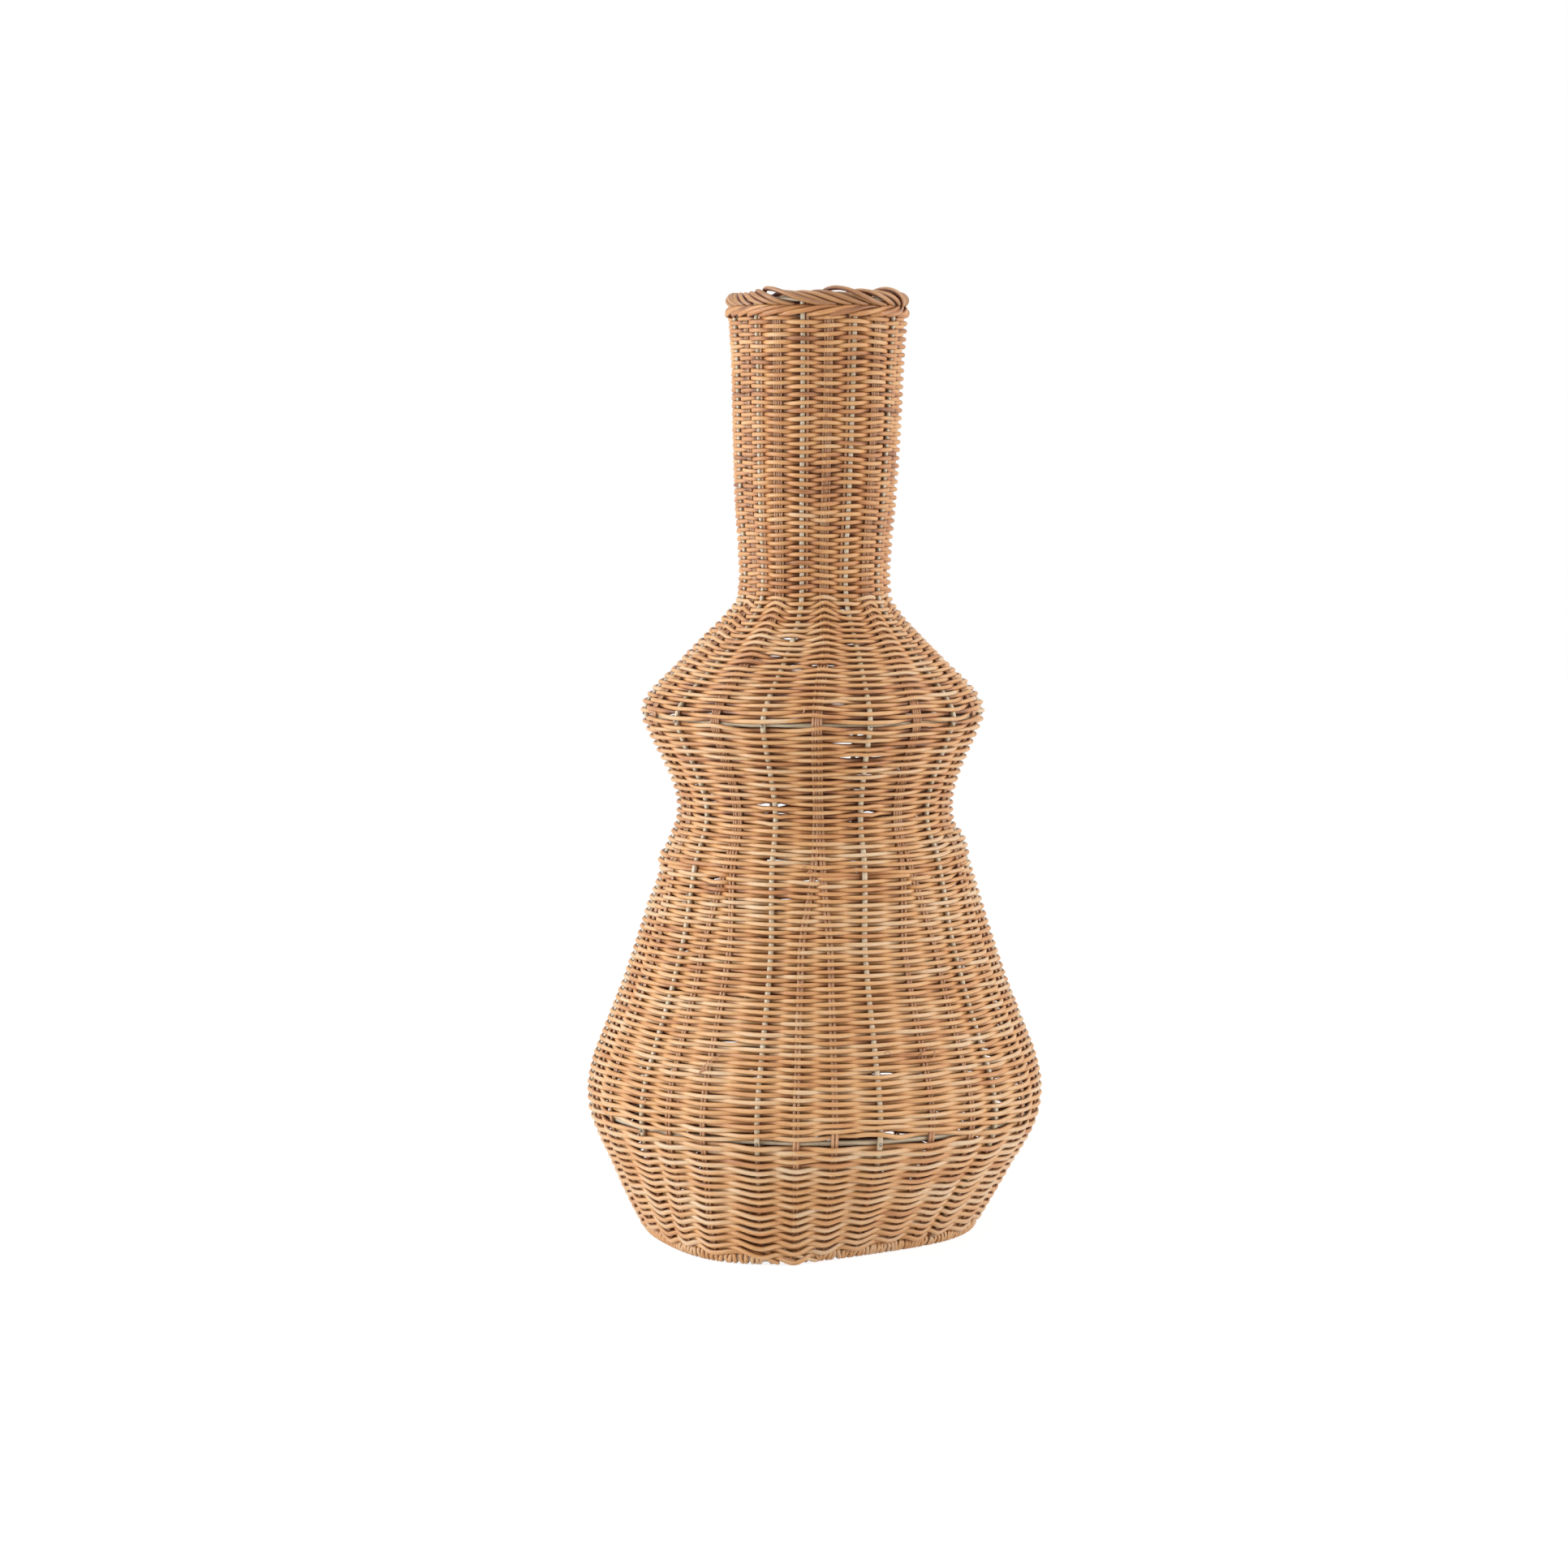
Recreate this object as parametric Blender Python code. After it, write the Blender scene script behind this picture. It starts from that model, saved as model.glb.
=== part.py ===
"""Floor vase woven from round rattan core on a frame of uprights and hoops.

The wall is one line of stations, foot to rim. Uprights, paired stakes, hoops and woven panels
are all placed from that line, so a change of one size moves everything that seats on it.
Angles run round the vase from its front, which faces -Y, towards +X.
"""

from math import atan2, cos, exp, hypot, pi, radians, sin, sqrt

import bmesh
import bpy
from mathutils import Vector

# Outline of the vase, to the outside of the weave: each size follows from the one it meets
FOOT_RADIUS = 0.1112
BELLY_RADIUS = 0.1476
BOWL_TOP_TUCK = 0.0016
BOWL_TOP_RADIUS = BELLY_RADIUS - BOWL_TOP_TUCK
HAUNCH_TUCK = 0.0045
HAUNCH_RADIUS = BELLY_RADIUS - HAUNCH_TUCK
WAIST_RADIUS = 0.0880
SKIRT_SPREAD = 0.0072
SKIRT_RADIUS = WAIST_RADIUS + SKIRT_SPREAD
FLARE_SPREAD = 0.0025
FLARE_RADIUS = WAIST_RADIUS + FLARE_SPREAD
SHOULDER_RADIUS = 0.1100
CROWN_TUCK = 0.0060
CROWN_RADIUS = SHOULDER_RADIUS - CROWN_TUCK
NECK_RADIUS = 0.0487
COLLAR_SPREAD = 0.0056
COLLAR_RADIUS = NECK_RADIUS + COLLAR_SPREAD
RIM_SPREAD = 0.0081
RIM_RADIUS = NECK_RADIUS + RIM_SPREAD

BOWL_TOP_HEIGHT = 0.0780
BELLY_RISE = 0.0140
BELLY_HEIGHT = BOWL_TOP_HEIGHT + BELLY_RISE
HAUNCH_RISE = 0.0180
HAUNCH_HEIGHT = BELLY_HEIGHT + HAUNCH_RISE
SKIRT_RISE = 0.1400
SKIRT_HEIGHT = HAUNCH_HEIGHT + SKIRT_RISE
WAIST_RISE = 0.0190
WAIST_HEIGHT = SKIRT_HEIGHT + WAIST_RISE
FLARE_RISE = 0.0160
FLARE_HEIGHT = WAIST_HEIGHT + FLARE_RISE
SHOULDER_RISE = 0.0470
SHOULDER_HEIGHT = FLARE_HEIGHT + SHOULDER_RISE
CROWN_RISE = 0.0150
CROWN_HEIGHT = SHOULDER_HEIGHT + CROWN_RISE
COLLAR_RISE = 0.0520
COLLAR_HEIGHT = CROWN_HEIGHT + COLLAR_RISE
NECK_RISE = 0.0100
NECK_HEIGHT = COLLAR_HEIGHT + NECK_RISE
RIM_RISE = 0.1707
RIM_HEIGHT = NECK_HEIGHT + RIM_RISE

# How far each long run bows out of the straight, and in how many steps it is drawn
BOWL_BOW = 0.0008
SKIRT_BOW = -0.0014
FLARE_BOW = -0.0004
SHOULDER_BOW = -0.0004
NECK_BOW = 0.0004
LONG_STEPS = 3

# Round core and strands
UPRIGHT_RADIUS = 0.00175
PAIR_WIDTH = 0.0040
PAIR_THICKNESS = 0.0018
WEAVER_THICKNESS = 0.0028
HOOP_CORE_RADIUS = 0.0017
BASE_HOOP_RADIUS = 0.0030
BINDING_THICKNESS = 0.0020
FLOOR_STICK_RADIUS = 0.0016

# Clearances: a strand lies this far from what it bears on
SEAT_GAP = 0.0003
PANEL_GAP = 0.0002
UPRIGHT_FLUTE_GAP = 0.0006
PAIR_FLUTE_GAP = 0.0010
VALLEY_DEPTH = 0.0012
VALLEY_REACH = 0.0080

# Spacing round the vase
GROUPS = 10
NECK_FRONT_ANGLE = radians(6.7)
TWIST = radians(-5.8)
PAIR_SPREAD = radians(6.0)
PAIR_PITCH = 0.0043
JOIN_DROP = 0.0110
JOIN_HEIGHT = WAIST_HEIGHT - JOIN_DROP
SPLIT_DROP = 0.0700
SPLIT_HEIGHT = JOIN_HEIGHT - SPLIT_DROP
# Hand spacing of each upright and of the two pairs before it, in degrees, from the front round
UPRIGHT_DRIFT = (-3.1, -3.8, -1.5, 1.0, -1.2, 0.8, 1.6, 2.0, 4.1, 2.4)
LEFT_PAIR_DRIFT = (0.1, -1.1, -1.0, 0.8, -0.5, 0.6, -0.9, 0.7, 1.0, 1.3)
RIGHT_PAIR_DRIFT = (-2.4, -0.5, 0.4, -0.6, 0.9, -0.8, 0.5, -0.4, 0.6, -0.2)

# Departures of the woven shape from round
NECK_CORNER = 0.0014
NECK_CORNERS = 5
CORNER_ANGLE = radians(42.7)
SHOULDER_RIB = 0.0014
FOOT_BULGE = 0.0140
FOOT_BULGE_ANGLE = radians(-24)
FOOT_BULGE_SPREAD = radians(18)
FOOT_FLAT = 0.0150
FOOT_FLAT_ANGLE = radians(33)
FOOT_FLAT_SPREAD = radians(24)
FOOT_OFFSET = -0.0030
SHOULDER_OFFSET = -0.0015
RIM_OFFSET = 0.0020

# Rim: a twisted wale round the stakes, and the rolled border on their ends
WALE_RADIUS = 0.0029
WALE_STRANDS = 3
WALE_TURNS = 4
BORDER_RADIUS = 0.0065
BORDER_STRANDS = 5
BORDER_TURNS = -4
BORDER_WAVE = 0.0004
BORDER_WAVES = 7
STRAND_GROOVE = 0.24

# Scarf joint in each hoop: its length, and how much of the core's width the cut crosses
SCARF_LENGTH = 0.0380
SCARF_CROSS = 1.2
KNIFE_OVERRUN = 1.3
BELLY_SCARF_ANGLE = radians(-13)
SHOULDER_SCARF_ANGLE = radians(-12)

# Floor
FLOOR_STICKS = 4
FLOOR_STICK_PITCH = 0.0046
FLOOR_STICK_FAN = radians(22.5)
FLOOR_STICK_HEIGHT = 0.0004
FLOOR_THICKNESS = 0.0028

# Drawing steps
UPRIGHT_SIDES = 5
HOOP_SIDES = 6
SHARP_ANGLE = radians(40)
RING_STEPS = 36
BORDER_STEPS = 64
WALE_STEPS = 48
HOOP_SEGMENTS = 32
FLAT_UNDERSIDE = radians(65)
BINDING_ANGLES = (100, 55, 10, -30, -65, -115, -150, -180, -225)

PARTS = "rattan_vase"
CUTTERS = "cutters"

FINISHES = {
    "weaver_core": ((0.62, 0.36, 0.18, 1.0), 0.55),
    "stake_core": ((0.48, 0.25, 0.12, 1.0), 0.60),
    "frame_cane": ((0.50, 0.42, 0.26, 1.0), 0.50),
}


def clear_scene():
    for item in list(bpy.data.objects):
        bpy.data.objects.remove(item, do_unlink=True)


def collection(name):
    made = bpy.data.collections.new(name)
    bpy.context.scene.collection.children.link(made)
    return made


def finish(name):
    """The material of one kind of cane, made once."""
    if name in bpy.data.materials:
        return bpy.data.materials[name]
    colour, roughness = FINISHES[name]
    made = bpy.data.materials.new(name)
    made.use_nodes = True
    shader = made.node_tree.nodes["Principled BSDF"]
    shader.inputs["Base Color"].default_value = colour
    shader.inputs["Roughness"].default_value = roughness
    shader.inputs["Metallic"].default_value = 0.0
    return made


def place(item, name, material, home=PARTS):
    """Names an object, gives it its material and moves it to its collection."""
    item.name = name
    item.data.name = name
    if material:
        item.data.materials.append(finish(material))
    for holder in list(item.users_collection):
        holder.objects.unlink(item)
    bpy.data.collections[home].objects.link(item)
    return item


def smooth(value):
    """0 to 1 with an easy start and end."""
    value = min(1.0, max(0.0, value))
    return value * value * (3.0 - 2.0 * value)


def bowed(start, end, bow, steps=LONG_STEPS):
    """Points after start up to end, on a line that bows outwards by this much."""
    run = (end[0] - start[0], end[1] - start[1])
    length = hypot(*run)
    out = (run[1] / length, -run[0] / length)
    points = []
    for step in range(1, steps + 1):
        along = step / steps
        rise = bow * 4.0 * along * (1.0 - along)
        points.append((
            start[0] + run[0] * along + out[0] * rise,
            start[1] + run[1] * along + out[1] * rise,
        ))
    return points


def mitres(points):
    """At each point, the outward step that offsets both neighbouring runs by one unit."""
    steps = []
    for index, point in enumerate(points):
        normals = []
        for before, after in ((index - 1, index), (index, index + 1)):
            if before < 0 or after >= len(points):
                continue
            run = (points[after][0] - points[before][0], points[after][1] - points[before][1])
            length = hypot(*run)
            normals.append((run[1] / length, -run[0] / length))
        total = (sum(n[0] for n in normals), sum(n[1] for n in normals))
        scale = len(normals) / (total[0] ** 2 + total[1] ** 2)
        steps.append((total[0] * scale, total[1] * scale))
    return steps


class Wall:
    """The line that every stake follows, at the middle of the wall, station by station."""

    def __init__(self):
        half = UPRIGHT_RADIUS + UPRIGHT_FLUTE_GAP + WEAVER_THICKNESS
        binding = BASE_HOOP_RADIUS + SEAT_GAP + BINDING_THICKNESS
        self.base_height = binding * sin(FLAT_UNDERSIDE)
        reach = binding + SEAT_GAP
        tilt = atan2(BOWL_TOP_RADIUS - FOOT_RADIUS, BOWL_TOP_HEIGHT - self.base_height)
        foot_height = self.base_height + reach * cos(tilt) - half * sin(tilt)
        foot = (FOOT_RADIUS, foot_height)
        bowl_top = (BOWL_TOP_RADIUS, BOWL_TOP_HEIGHT)
        belly = (BELLY_RADIUS, BELLY_HEIGHT)
        haunch = (HAUNCH_RADIUS, HAUNCH_HEIGHT)
        skirt = (SKIRT_RADIUS, SKIRT_HEIGHT)
        waist = (WAIST_RADIUS, WAIST_HEIGHT)
        flare = (FLARE_RADIUS, FLARE_HEIGHT)
        shoulder = (SHOULDER_RADIUS, SHOULDER_HEIGHT)
        crown = (CROWN_RADIUS, CROWN_HEIGHT)
        collar = (COLLAR_RADIUS, COLLAR_HEIGHT)
        neck = (NECK_RADIUS, NECK_HEIGHT)
        rim = (RIM_RADIUS, RIM_HEIGHT)
        top = (RIM_RADIUS, RIM_HEIGHT + 2.0 * WALE_RADIUS + 2.0 * SEAT_GAP)
        outline = [foot] + bowed(foot, bowl_top, BOWL_BOW)
        self.bowl_top = len(outline) - 1
        outline += [belly, haunch] + bowed(haunch, skirt, SKIRT_BOW) + [waist]
        self.waist = len(outline) - 1
        outline += [flare] + bowed(flare, shoulder, FLARE_BOW, LONG_STEPS - 1)
        self.shoulder = len(outline) - 1
        outline += [crown] + bowed(crown, collar, SHOULDER_BOW, LONG_STEPS - 1) + [neck]
        self.neck = len(outline) - 1
        outline += bowed(neck, rim, NECK_BOW, LONG_STEPS - 1)
        self.rim = len(outline) - 1
        outline.append(top)
        self.top = len(outline) - 1
        self.steps = mitres(outline)
        self.line = [
            (point[0] - step[0] * half, point[1] - step[1] * half)
            for point, step in zip(outline, self.steps)
        ]
        first, second = self.line[0], self.line[1]
        length = hypot(second[0] - first[0], second[1] - first[1])
        self.base_radius = first[0] - (second[0] - first[0]) / length * reach
        self.binding_radius = binding

    def lean(self, height):
        """How far the hand-made axis stands off to the side at this height."""
        stops = (
            (0.0, FOOT_OFFSET), (BELLY_HEIGHT, 0.0), (WAIST_HEIGHT, 0.0),
            (SHOULDER_HEIGHT, SHOULDER_OFFSET), (NECK_HEIGHT, 0.0), (RIM_HEIGHT, RIM_OFFSET),
        )
        for (low, from_lean), (high, to_lean) in zip(stops, stops[1:]):
            if height <= high:
                return from_lean + (to_lean - from_lean) * smooth((height - low) / (high - low))
        return RIM_OFFSET

    def out_of_round(self, angle, height):
        """Extra radius: the uneven foot, the shoulder's ribs and the neck's corners."""
        turn = (angle + pi) % (2.0 * pi) - pi
        bulge = FOOT_BULGE * exp(-((turn - FOOT_BULGE_ANGLE) / FOOT_BULGE_SPREAD) ** 2 / 2.0)
        flat = FOOT_FLAT * exp(-((turn - FOOT_FLAT_ANGLE) / FOOT_FLAT_SPREAD) ** 2 / 2.0)
        extra = (bulge - flat) * (1.0 - smooth(height / BOWL_TOP_HEIGHT))
        in_neck = smooth((height - SHOULDER_HEIGHT) / (NECK_HEIGHT - SHOULDER_HEIGHT))
        extra += NECK_CORNER * in_neck * cos(NECK_CORNERS * (angle - CORNER_ANGLE))
        centre = NECK_FRONT_ANGLE + self.twist(height)
        rib = SHOULDER_RIB * sin(pi * in_neck) if 0.0 < in_neck < 1.0 else 0.0
        return extra + rib * cos(GROUPS * (angle - centre))

    def twist(self, height):
        """The uprights run straight to the shoulder and lean round by this much above it."""
        return TWIST * (1.0 - smooth((height - SHOULDER_HEIGHT) / (NECK_HEIGHT - SHOULDER_HEIGHT)))

    def point(self, station, angle, offset, along=0.0, towards=1):
        """A point this far outside the line, drawn along it by a gap where a panel ends."""
        radius, height = self.line[station]
        radius += self.steps[station][0] * offset
        if along:
            other = self.line[station + towards]
            here = self.line[station]
            length = hypot(other[0] - here[0], other[1] - here[1])
            radius += (other[0] - here[0]) / length * along
            height += (other[1] - here[1]) / length * along
        height_here = height + self.steps[station][1] * offset
        radius += self.out_of_round(angle, self.line[station][1])
        return polar(radius, angle, height_here, self.lean(self.line[station][1]))

    def upright_angle(self, group, station):
        """Angle of one upright, half way between two groups of thin stakes."""
        height = self.line[station][1]
        spread = 1.0 - smooth((height - SPLIT_HEIGHT) / (JOIN_HEIGHT - SPLIT_HEIGHT))
        turn = (group + 0.5) * 2.0 * pi / GROUPS
        drift = radians(UPRIGHT_DRIFT[group % len(UPRIGHT_DRIFT)]) * spread
        return NECK_FRONT_ANGLE + self.twist(height) + turn + drift

    def pair_angle(self, group, side, station):
        """Angle of one pair: apart on the belly, side by side from the waist up."""
        radius, height = self.line[station]
        spread = 1.0 - smooth((height - SPLIT_HEIGHT) / (JOIN_HEIGHT - SPLIT_HEIGHT))
        together = PAIR_PITCH / 2.0 / radius
        apart = side * (together + (PAIR_SPREAD - together) * spread)
        drifts = LEFT_PAIR_DRIFT if side < 0 else RIGHT_PAIR_DRIFT
        drift = radians(drifts[group % len(drifts)]) * spread
        turn = group * 2.0 * pi / GROUPS
        return NECK_FRONT_ANGLE + self.twist(height) + turn + apart + drift


def polar(radius, angle, height, lean=0.0):
    """A point at this angle from the front, which faces -Y."""
    return Vector((radius * sin(angle) + lean, -radius * cos(angle), height))


def loft(name, loops, material, closed):
    """One solid skinned over loops of equal count. A closed one returns to its first loop."""
    mesh = bmesh.new()
    rows = [[mesh.verts.new(point) for point in loop] for loop in loops]
    pairs = list(zip(rows, rows[1:]))
    if closed:
        pairs.append((rows[-1], rows[0]))
    for lower, upper in pairs:
        for here in range(len(lower)):
            after = (here + 1) % len(lower)
            mesh.faces.new((lower[here], lower[after], upper[after], upper[here]))
    if not closed:
        mesh.faces.new(rows[0])
        mesh.faces.new(rows[-1])
    bmesh.ops.recalc_face_normals(mesh, faces=mesh.faces)
    data = bpy.data.meshes.new(name)
    mesh.to_mesh(data)
    mesh.free()
    item = bpy.data.objects.new(name, data)
    bpy.context.scene.collection.objects.link(item)
    place(item, name, material)
    data.shade_smooth()
    data.set_sharp_from_angle(angle=SHARP_ANGLE)
    return item


def stake(wall, name, angle_at, section, material):
    """A strand lofted foot to rim, its section held square to the wall at every station."""
    loops = []
    for station in range(wall.top + 1):
        angle = angle_at(station)
        radius = wall.line[station][0]
        loops.append([
            wall.point(station, angle + sideways / radius, outwards)
            for sideways, outwards in section
        ])
    return loft(name, loops, material, closed=False)


def uprights(wall):
    """Ten stout round canes, nailed outside the hoops, that carry the whole frame."""
    corners = [2.0 * pi * side / UPRIGHT_SIDES for side in range(UPRIGHT_SIDES)]
    section = [(UPRIGHT_RADIUS * sin(turn), -UPRIGHT_RADIUS * cos(turn)) for turn in corners]
    for group in range(GROUPS):
        stake(wall, f"upright_{group + 1:02d}",
              lambda station, group=group: wall.upright_angle(group, station),
              section, "frame_cane")


def stake_pairs(wall):
    """Twenty pairs of thin strands, each pair side by side, inner faces level with the uprights'."""
    inner = -UPRIGHT_RADIUS
    outer = inner + PAIR_THICKNESS
    half = PAIR_WIDTH / 2.0
    section = [(-half, inner), (half, inner), (half, outer), (-half, outer)]
    for group in range(GROUPS):
        for side, letter in ((-1, "a"), (1, "b")):
            stake(wall, f"stake_pair_{group + 1:02d}{letter}",
                  lambda station, group=group, side=side: wall.pair_angle(group, side, station),
                  section, "stake_core")


def flutes(wall, station, split):
    """Angles round the panel with the inner offset of the weave at each: ridges and valleys."""
    ridge_upright = UPRIGHT_RADIUS + UPRIGHT_FLUTE_GAP
    ridge_pair = PAIR_THICKNESS - UPRIGHT_RADIUS + PAIR_FLUTE_GAP
    radius = wall.line[station][0]
    ridges = []
    for group in range(GROUPS):
        ridges.append((wall.pair_angle(group, -1, station), ridge_pair, split))
        ridges.append((wall.pair_angle(group, 1, station), ridge_pair, True))
        ridges.append((wall.upright_angle(group, station), ridge_upright, True))
    marks = []
    for index, (angle, ridge, valley_follows) in enumerate(ridges):
        marks.append((angle, ridge))
        if not valley_follows:
            continue
        after, next_ridge, _ = ridges[(index + 1) % len(ridges)]
        if after < angle:
            after += 2.0 * pi
        open_width = (after - angle) * radius - PAIR_WIDTH
        depth = min(1.0, max(0.0, open_width / VALLEY_REACH))
        level = (ridge + next_ridge) / 2.0
        marks.append(((angle + after) / 2.0, level - (level + VALLEY_DEPTH) * depth))
    return marks


def panel(wall, name, first, last, split):
    """A woven panel: a sheet one weaver thick, laid over every stake like the plain weave."""
    inner_loops = []
    outer_loops = []
    for station in range(first, last + 1):
        gap = PANEL_GAP if station in (first, last) else 0.0
        towards = 1 if station == first else -1
        marks = flutes(wall, station, split)
        inner_loops.append([wall.point(station, a, d, gap, towards) for a, d in marks])
        outer_loops.append([
            wall.point(station, a, d + WEAVER_THICKNESS, gap, towards) for a, d in marks
        ])
    return loft(name, outer_loops + inner_loops[::-1], "weaver_core", closed=True)


def panels(wall):
    panel(wall, "bowl_weave", 0, wall.bowl_top, split=True)
    panel(wall, "belly_weave", wall.bowl_top, wall.waist, split=True)
    panel(wall, "waist_weave", wall.waist, wall.shoulder, split=False)
    panel(wall, "shoulder_weave", wall.shoulder, wall.neck, split=False)
    panel(wall, "neck_weave", wall.neck, wall.rim, split=False)


def hoop(wall, name, station, scarf_angle):
    """A ring inside the uprights, closed by a long slanting scarf joint."""
    inward = UPRIGHT_RADIUS + SEAT_GAP + HOOP_CORE_RADIUS
    radius = wall.line[station][0] - wall.steps[station][0] * inward
    height = wall.line[station][1] - wall.steps[station][1] * inward
    centre = (wall.lean(wall.line[station][1]), 0.0, height)
    bpy.ops.mesh.primitive_torus_add(
        major_radius=radius, minor_radius=HOOP_CORE_RADIUS,
        major_segments=HOOP_SEGMENTS, minor_segments=HOOP_SIDES, location=centre,
    )
    ring = place(bpy.context.object, name, "frame_cane")
    ring.data.shade_smooth()
    spot = polar(radius, scarf_angle, height, centre[0])
    slant = atan2(SCARF_CROSS * 2.0 * HOOP_CORE_RADIUS, SCARF_LENGTH)
    bpy.ops.mesh.primitive_cube_add(size=1.0, location=spot, rotation=(0, 0, scarf_angle + slant))
    knife = place(bpy.context.object, f"{name}_scarf", None, CUTTERS)
    knife.dimensions = (
        SCARF_LENGTH * KNIFE_OVERRUN, SEAT_GAP, 2.0 * KNIFE_OVERRUN * HOOP_CORE_RADIUS,
    )
    knife.hide_render = True
    knife.display_type = "WIRE"
    cut = ring.modifiers.new("scarf", "BOOLEAN")
    cut.operation = "DIFFERENCE"
    cut.object = knife
    cut.solver = "EXACT"
    return ring


def base_ring_centre(wall, angle):
    """Radius of the base hoop's centre line, which follows the foot's uneven outline."""
    return wall.base_radius + wall.out_of_round(angle, wall.line[0][1])


def inside_ring(wall, angle, half_width):
    """Radius at which a square end of this half width seats inside the base ring's flat sides."""
    spread = half_width / wall.base_radius + pi / RING_STEPS
    nearest = min(base_ring_centre(wall, angle + aside) for aside in (-spread, 0.0, spread))
    return nearest * cos(pi / RING_STEPS) - wall.binding_radius - SEAT_GAP


def ring_angles():
    return [2.0 * pi * step / RING_STEPS for step in range(RING_STEPS)]


def base_hoop(wall):
    """The stout hoop that the whole vase stands on."""
    curve = bpy.data.curves.new("base_hoop", "CURVE")
    curve.dimensions = "3D"
    curve.bevel_depth = BASE_HOOP_RADIUS
    curve.bevel_resolution = 1
    spline = curve.splines.new("POLY")
    spline.points.add(RING_STEPS - 1)
    for point, angle in zip(spline.points, ring_angles()):
        spot = polar(base_ring_centre(wall, angle), angle, wall.base_height, FOOT_OFFSET)
        point.co = (*spot, 1.0)
    spline.use_cyclic_u = True
    item = bpy.data.objects.new("base_hoop", curve)
    bpy.context.scene.collection.objects.link(item)
    return place(item, "base_hoop", "frame_cane")


def base_binding(wall):
    """The strand wound round the base hoop: a sleeve with a slot inside, flat underneath."""
    outer = wall.binding_radius
    around = [radians(angle) for angle in BINDING_ANGLES]
    widest = max(before - after for before, after in zip(around, around[1:]))
    inner = (BASE_HOOP_RADIUS + SEAT_GAP) / cos(widest / 2.0)
    section = [(outer * cos(a), outer * sin(a)) for a in around]
    section += [(inner * cos(a), inner * sin(a)) for a in reversed(around)]
    loops = [
        [
            polar(base_ring_centre(wall, angle) + out, angle, wall.base_height + up, FOOT_OFFSET)
            for out, up in section
        ]
        for angle in ring_angles()
    ]
    return loft("base_binding", loops, "weaver_core", closed=True)


def floor_sticks(wall):
    """Two crossed sets of sticks under the floor, fanned out to seat inside the base ring."""
    number = 0
    for layer in range(2):
        height = FLOOR_STICK_HEIGHT + FLOOR_STICK_RADIUS
        height += layer * (2.0 * FLOOR_STICK_RADIUS + SEAT_GAP)
        for stick in range(FLOOR_STICKS):
            number += 1
            place_in_set = stick - (FLOOR_STICKS - 1) / 2.0
            aside = place_in_set * FLOOR_STICK_PITCH
            half_cross = FLOOR_STICKS * FLOOR_STICK_PITCH / 2.0
            ends = []
            for way in (1, -1):
                along = layer * pi / 2.0 + (0.0 if way > 0 else pi)
                fan = way * place_in_set * FLOOR_STICK_FAN
                angle = along + fan
                radius = inside_ring(wall, angle, FLOOR_STICK_RADIUS)
                far = polar(radius, angle, height, FOOT_OFFSET)
                near = polar(hypot(half_cross, aside), along + atan2(way * aside, half_cross),
                             height, FOOT_OFFSET)
                ends.append((far, near))
            points = [ends[0][0], ends[0][1], ends[1][1], ends[1][0]]
            rod(f"floor_stick_{number}", points, FLOOR_STICK_RADIUS, "frame_cane")


def rod(name, points, radius, material):
    """A round stick through these points."""
    curve = bpy.data.curves.new(name, "CURVE")
    curve.dimensions = "3D"
    curve.bevel_depth = radius
    curve.bevel_resolution = 1
    curve.use_fill_caps = True
    spline = curve.splines.new("POLY")
    spline.points.add(len(points) - 1)
    for point, spot in zip(spline.points, points):
        point.co = (*spot, 1.0)
    item = bpy.data.objects.new(name, curve)
    bpy.context.scene.collection.objects.link(item)
    return place(item, name, material)


def floor_weave(wall):
    """The woven floor: a flat disc with the foot's own outline, seated inside the binding."""
    low = FLOOR_STICK_HEIGHT + 4.0 * FLOOR_STICK_RADIUS + 2.0 * SEAT_GAP
    rise = low - wall.base_height
    reach = sqrt(max(wall.binding_radius ** 2 - rise ** 2, 0.0)) + SEAT_GAP
    curve = bpy.data.curves.new("floor_weave", "CURVE")
    curve.dimensions = "2D"
    curve.fill_mode = "BOTH"
    curve.extrude = FLOOR_THICKNESS / 2.0
    spline = curve.splines.new("POLY")
    spline.points.add(RING_STEPS - 1)
    for point, angle in zip(spline.points, ring_angles()):
        spot = polar(base_ring_centre(wall, angle) - reach, angle, 0.0)
        point.co = (*spot, 1.0)
    spline.use_cyclic_u = True
    item = bpy.data.objects.new("floor_weave", curve)
    bpy.context.scene.collection.objects.link(item)
    item.location = (FOOT_OFFSET, 0.0, low + FLOOR_THICKNESS / 2.0)
    return place(item, "floor_weave", "weaver_core")


def twisted_ring(wall, name, centre_offset, centre_height, radius, strands, turns, steps, wave=0.0):
    """A ring of strands laid round each other, swept along the outline of the rim."""
    loops = []
    for step in range(steps):
        angle = 2.0 * pi * step / steps
        lay = 2.0 * pi * turns * step / steps
        ring = wall.line[wall.top][0] + wall.out_of_round(angle, RIM_HEIGHT) + centre_offset
        height = centre_height + wave * sin(BORDER_WAVES * angle)
        loop = []
        for corner in range(2 * strands):
            reach = radius * (1.0 if corner % 2 == 0 else 1.0 - STRAND_GROOVE)
            turn = pi * corner / strands + lay
            loop.append(polar(ring + reach * cos(turn), angle, height + reach * sin(turn), RIM_OFFSET))
        loops.append(loop)
    return loft(name, loops, "weaver_core", closed=True)


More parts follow.
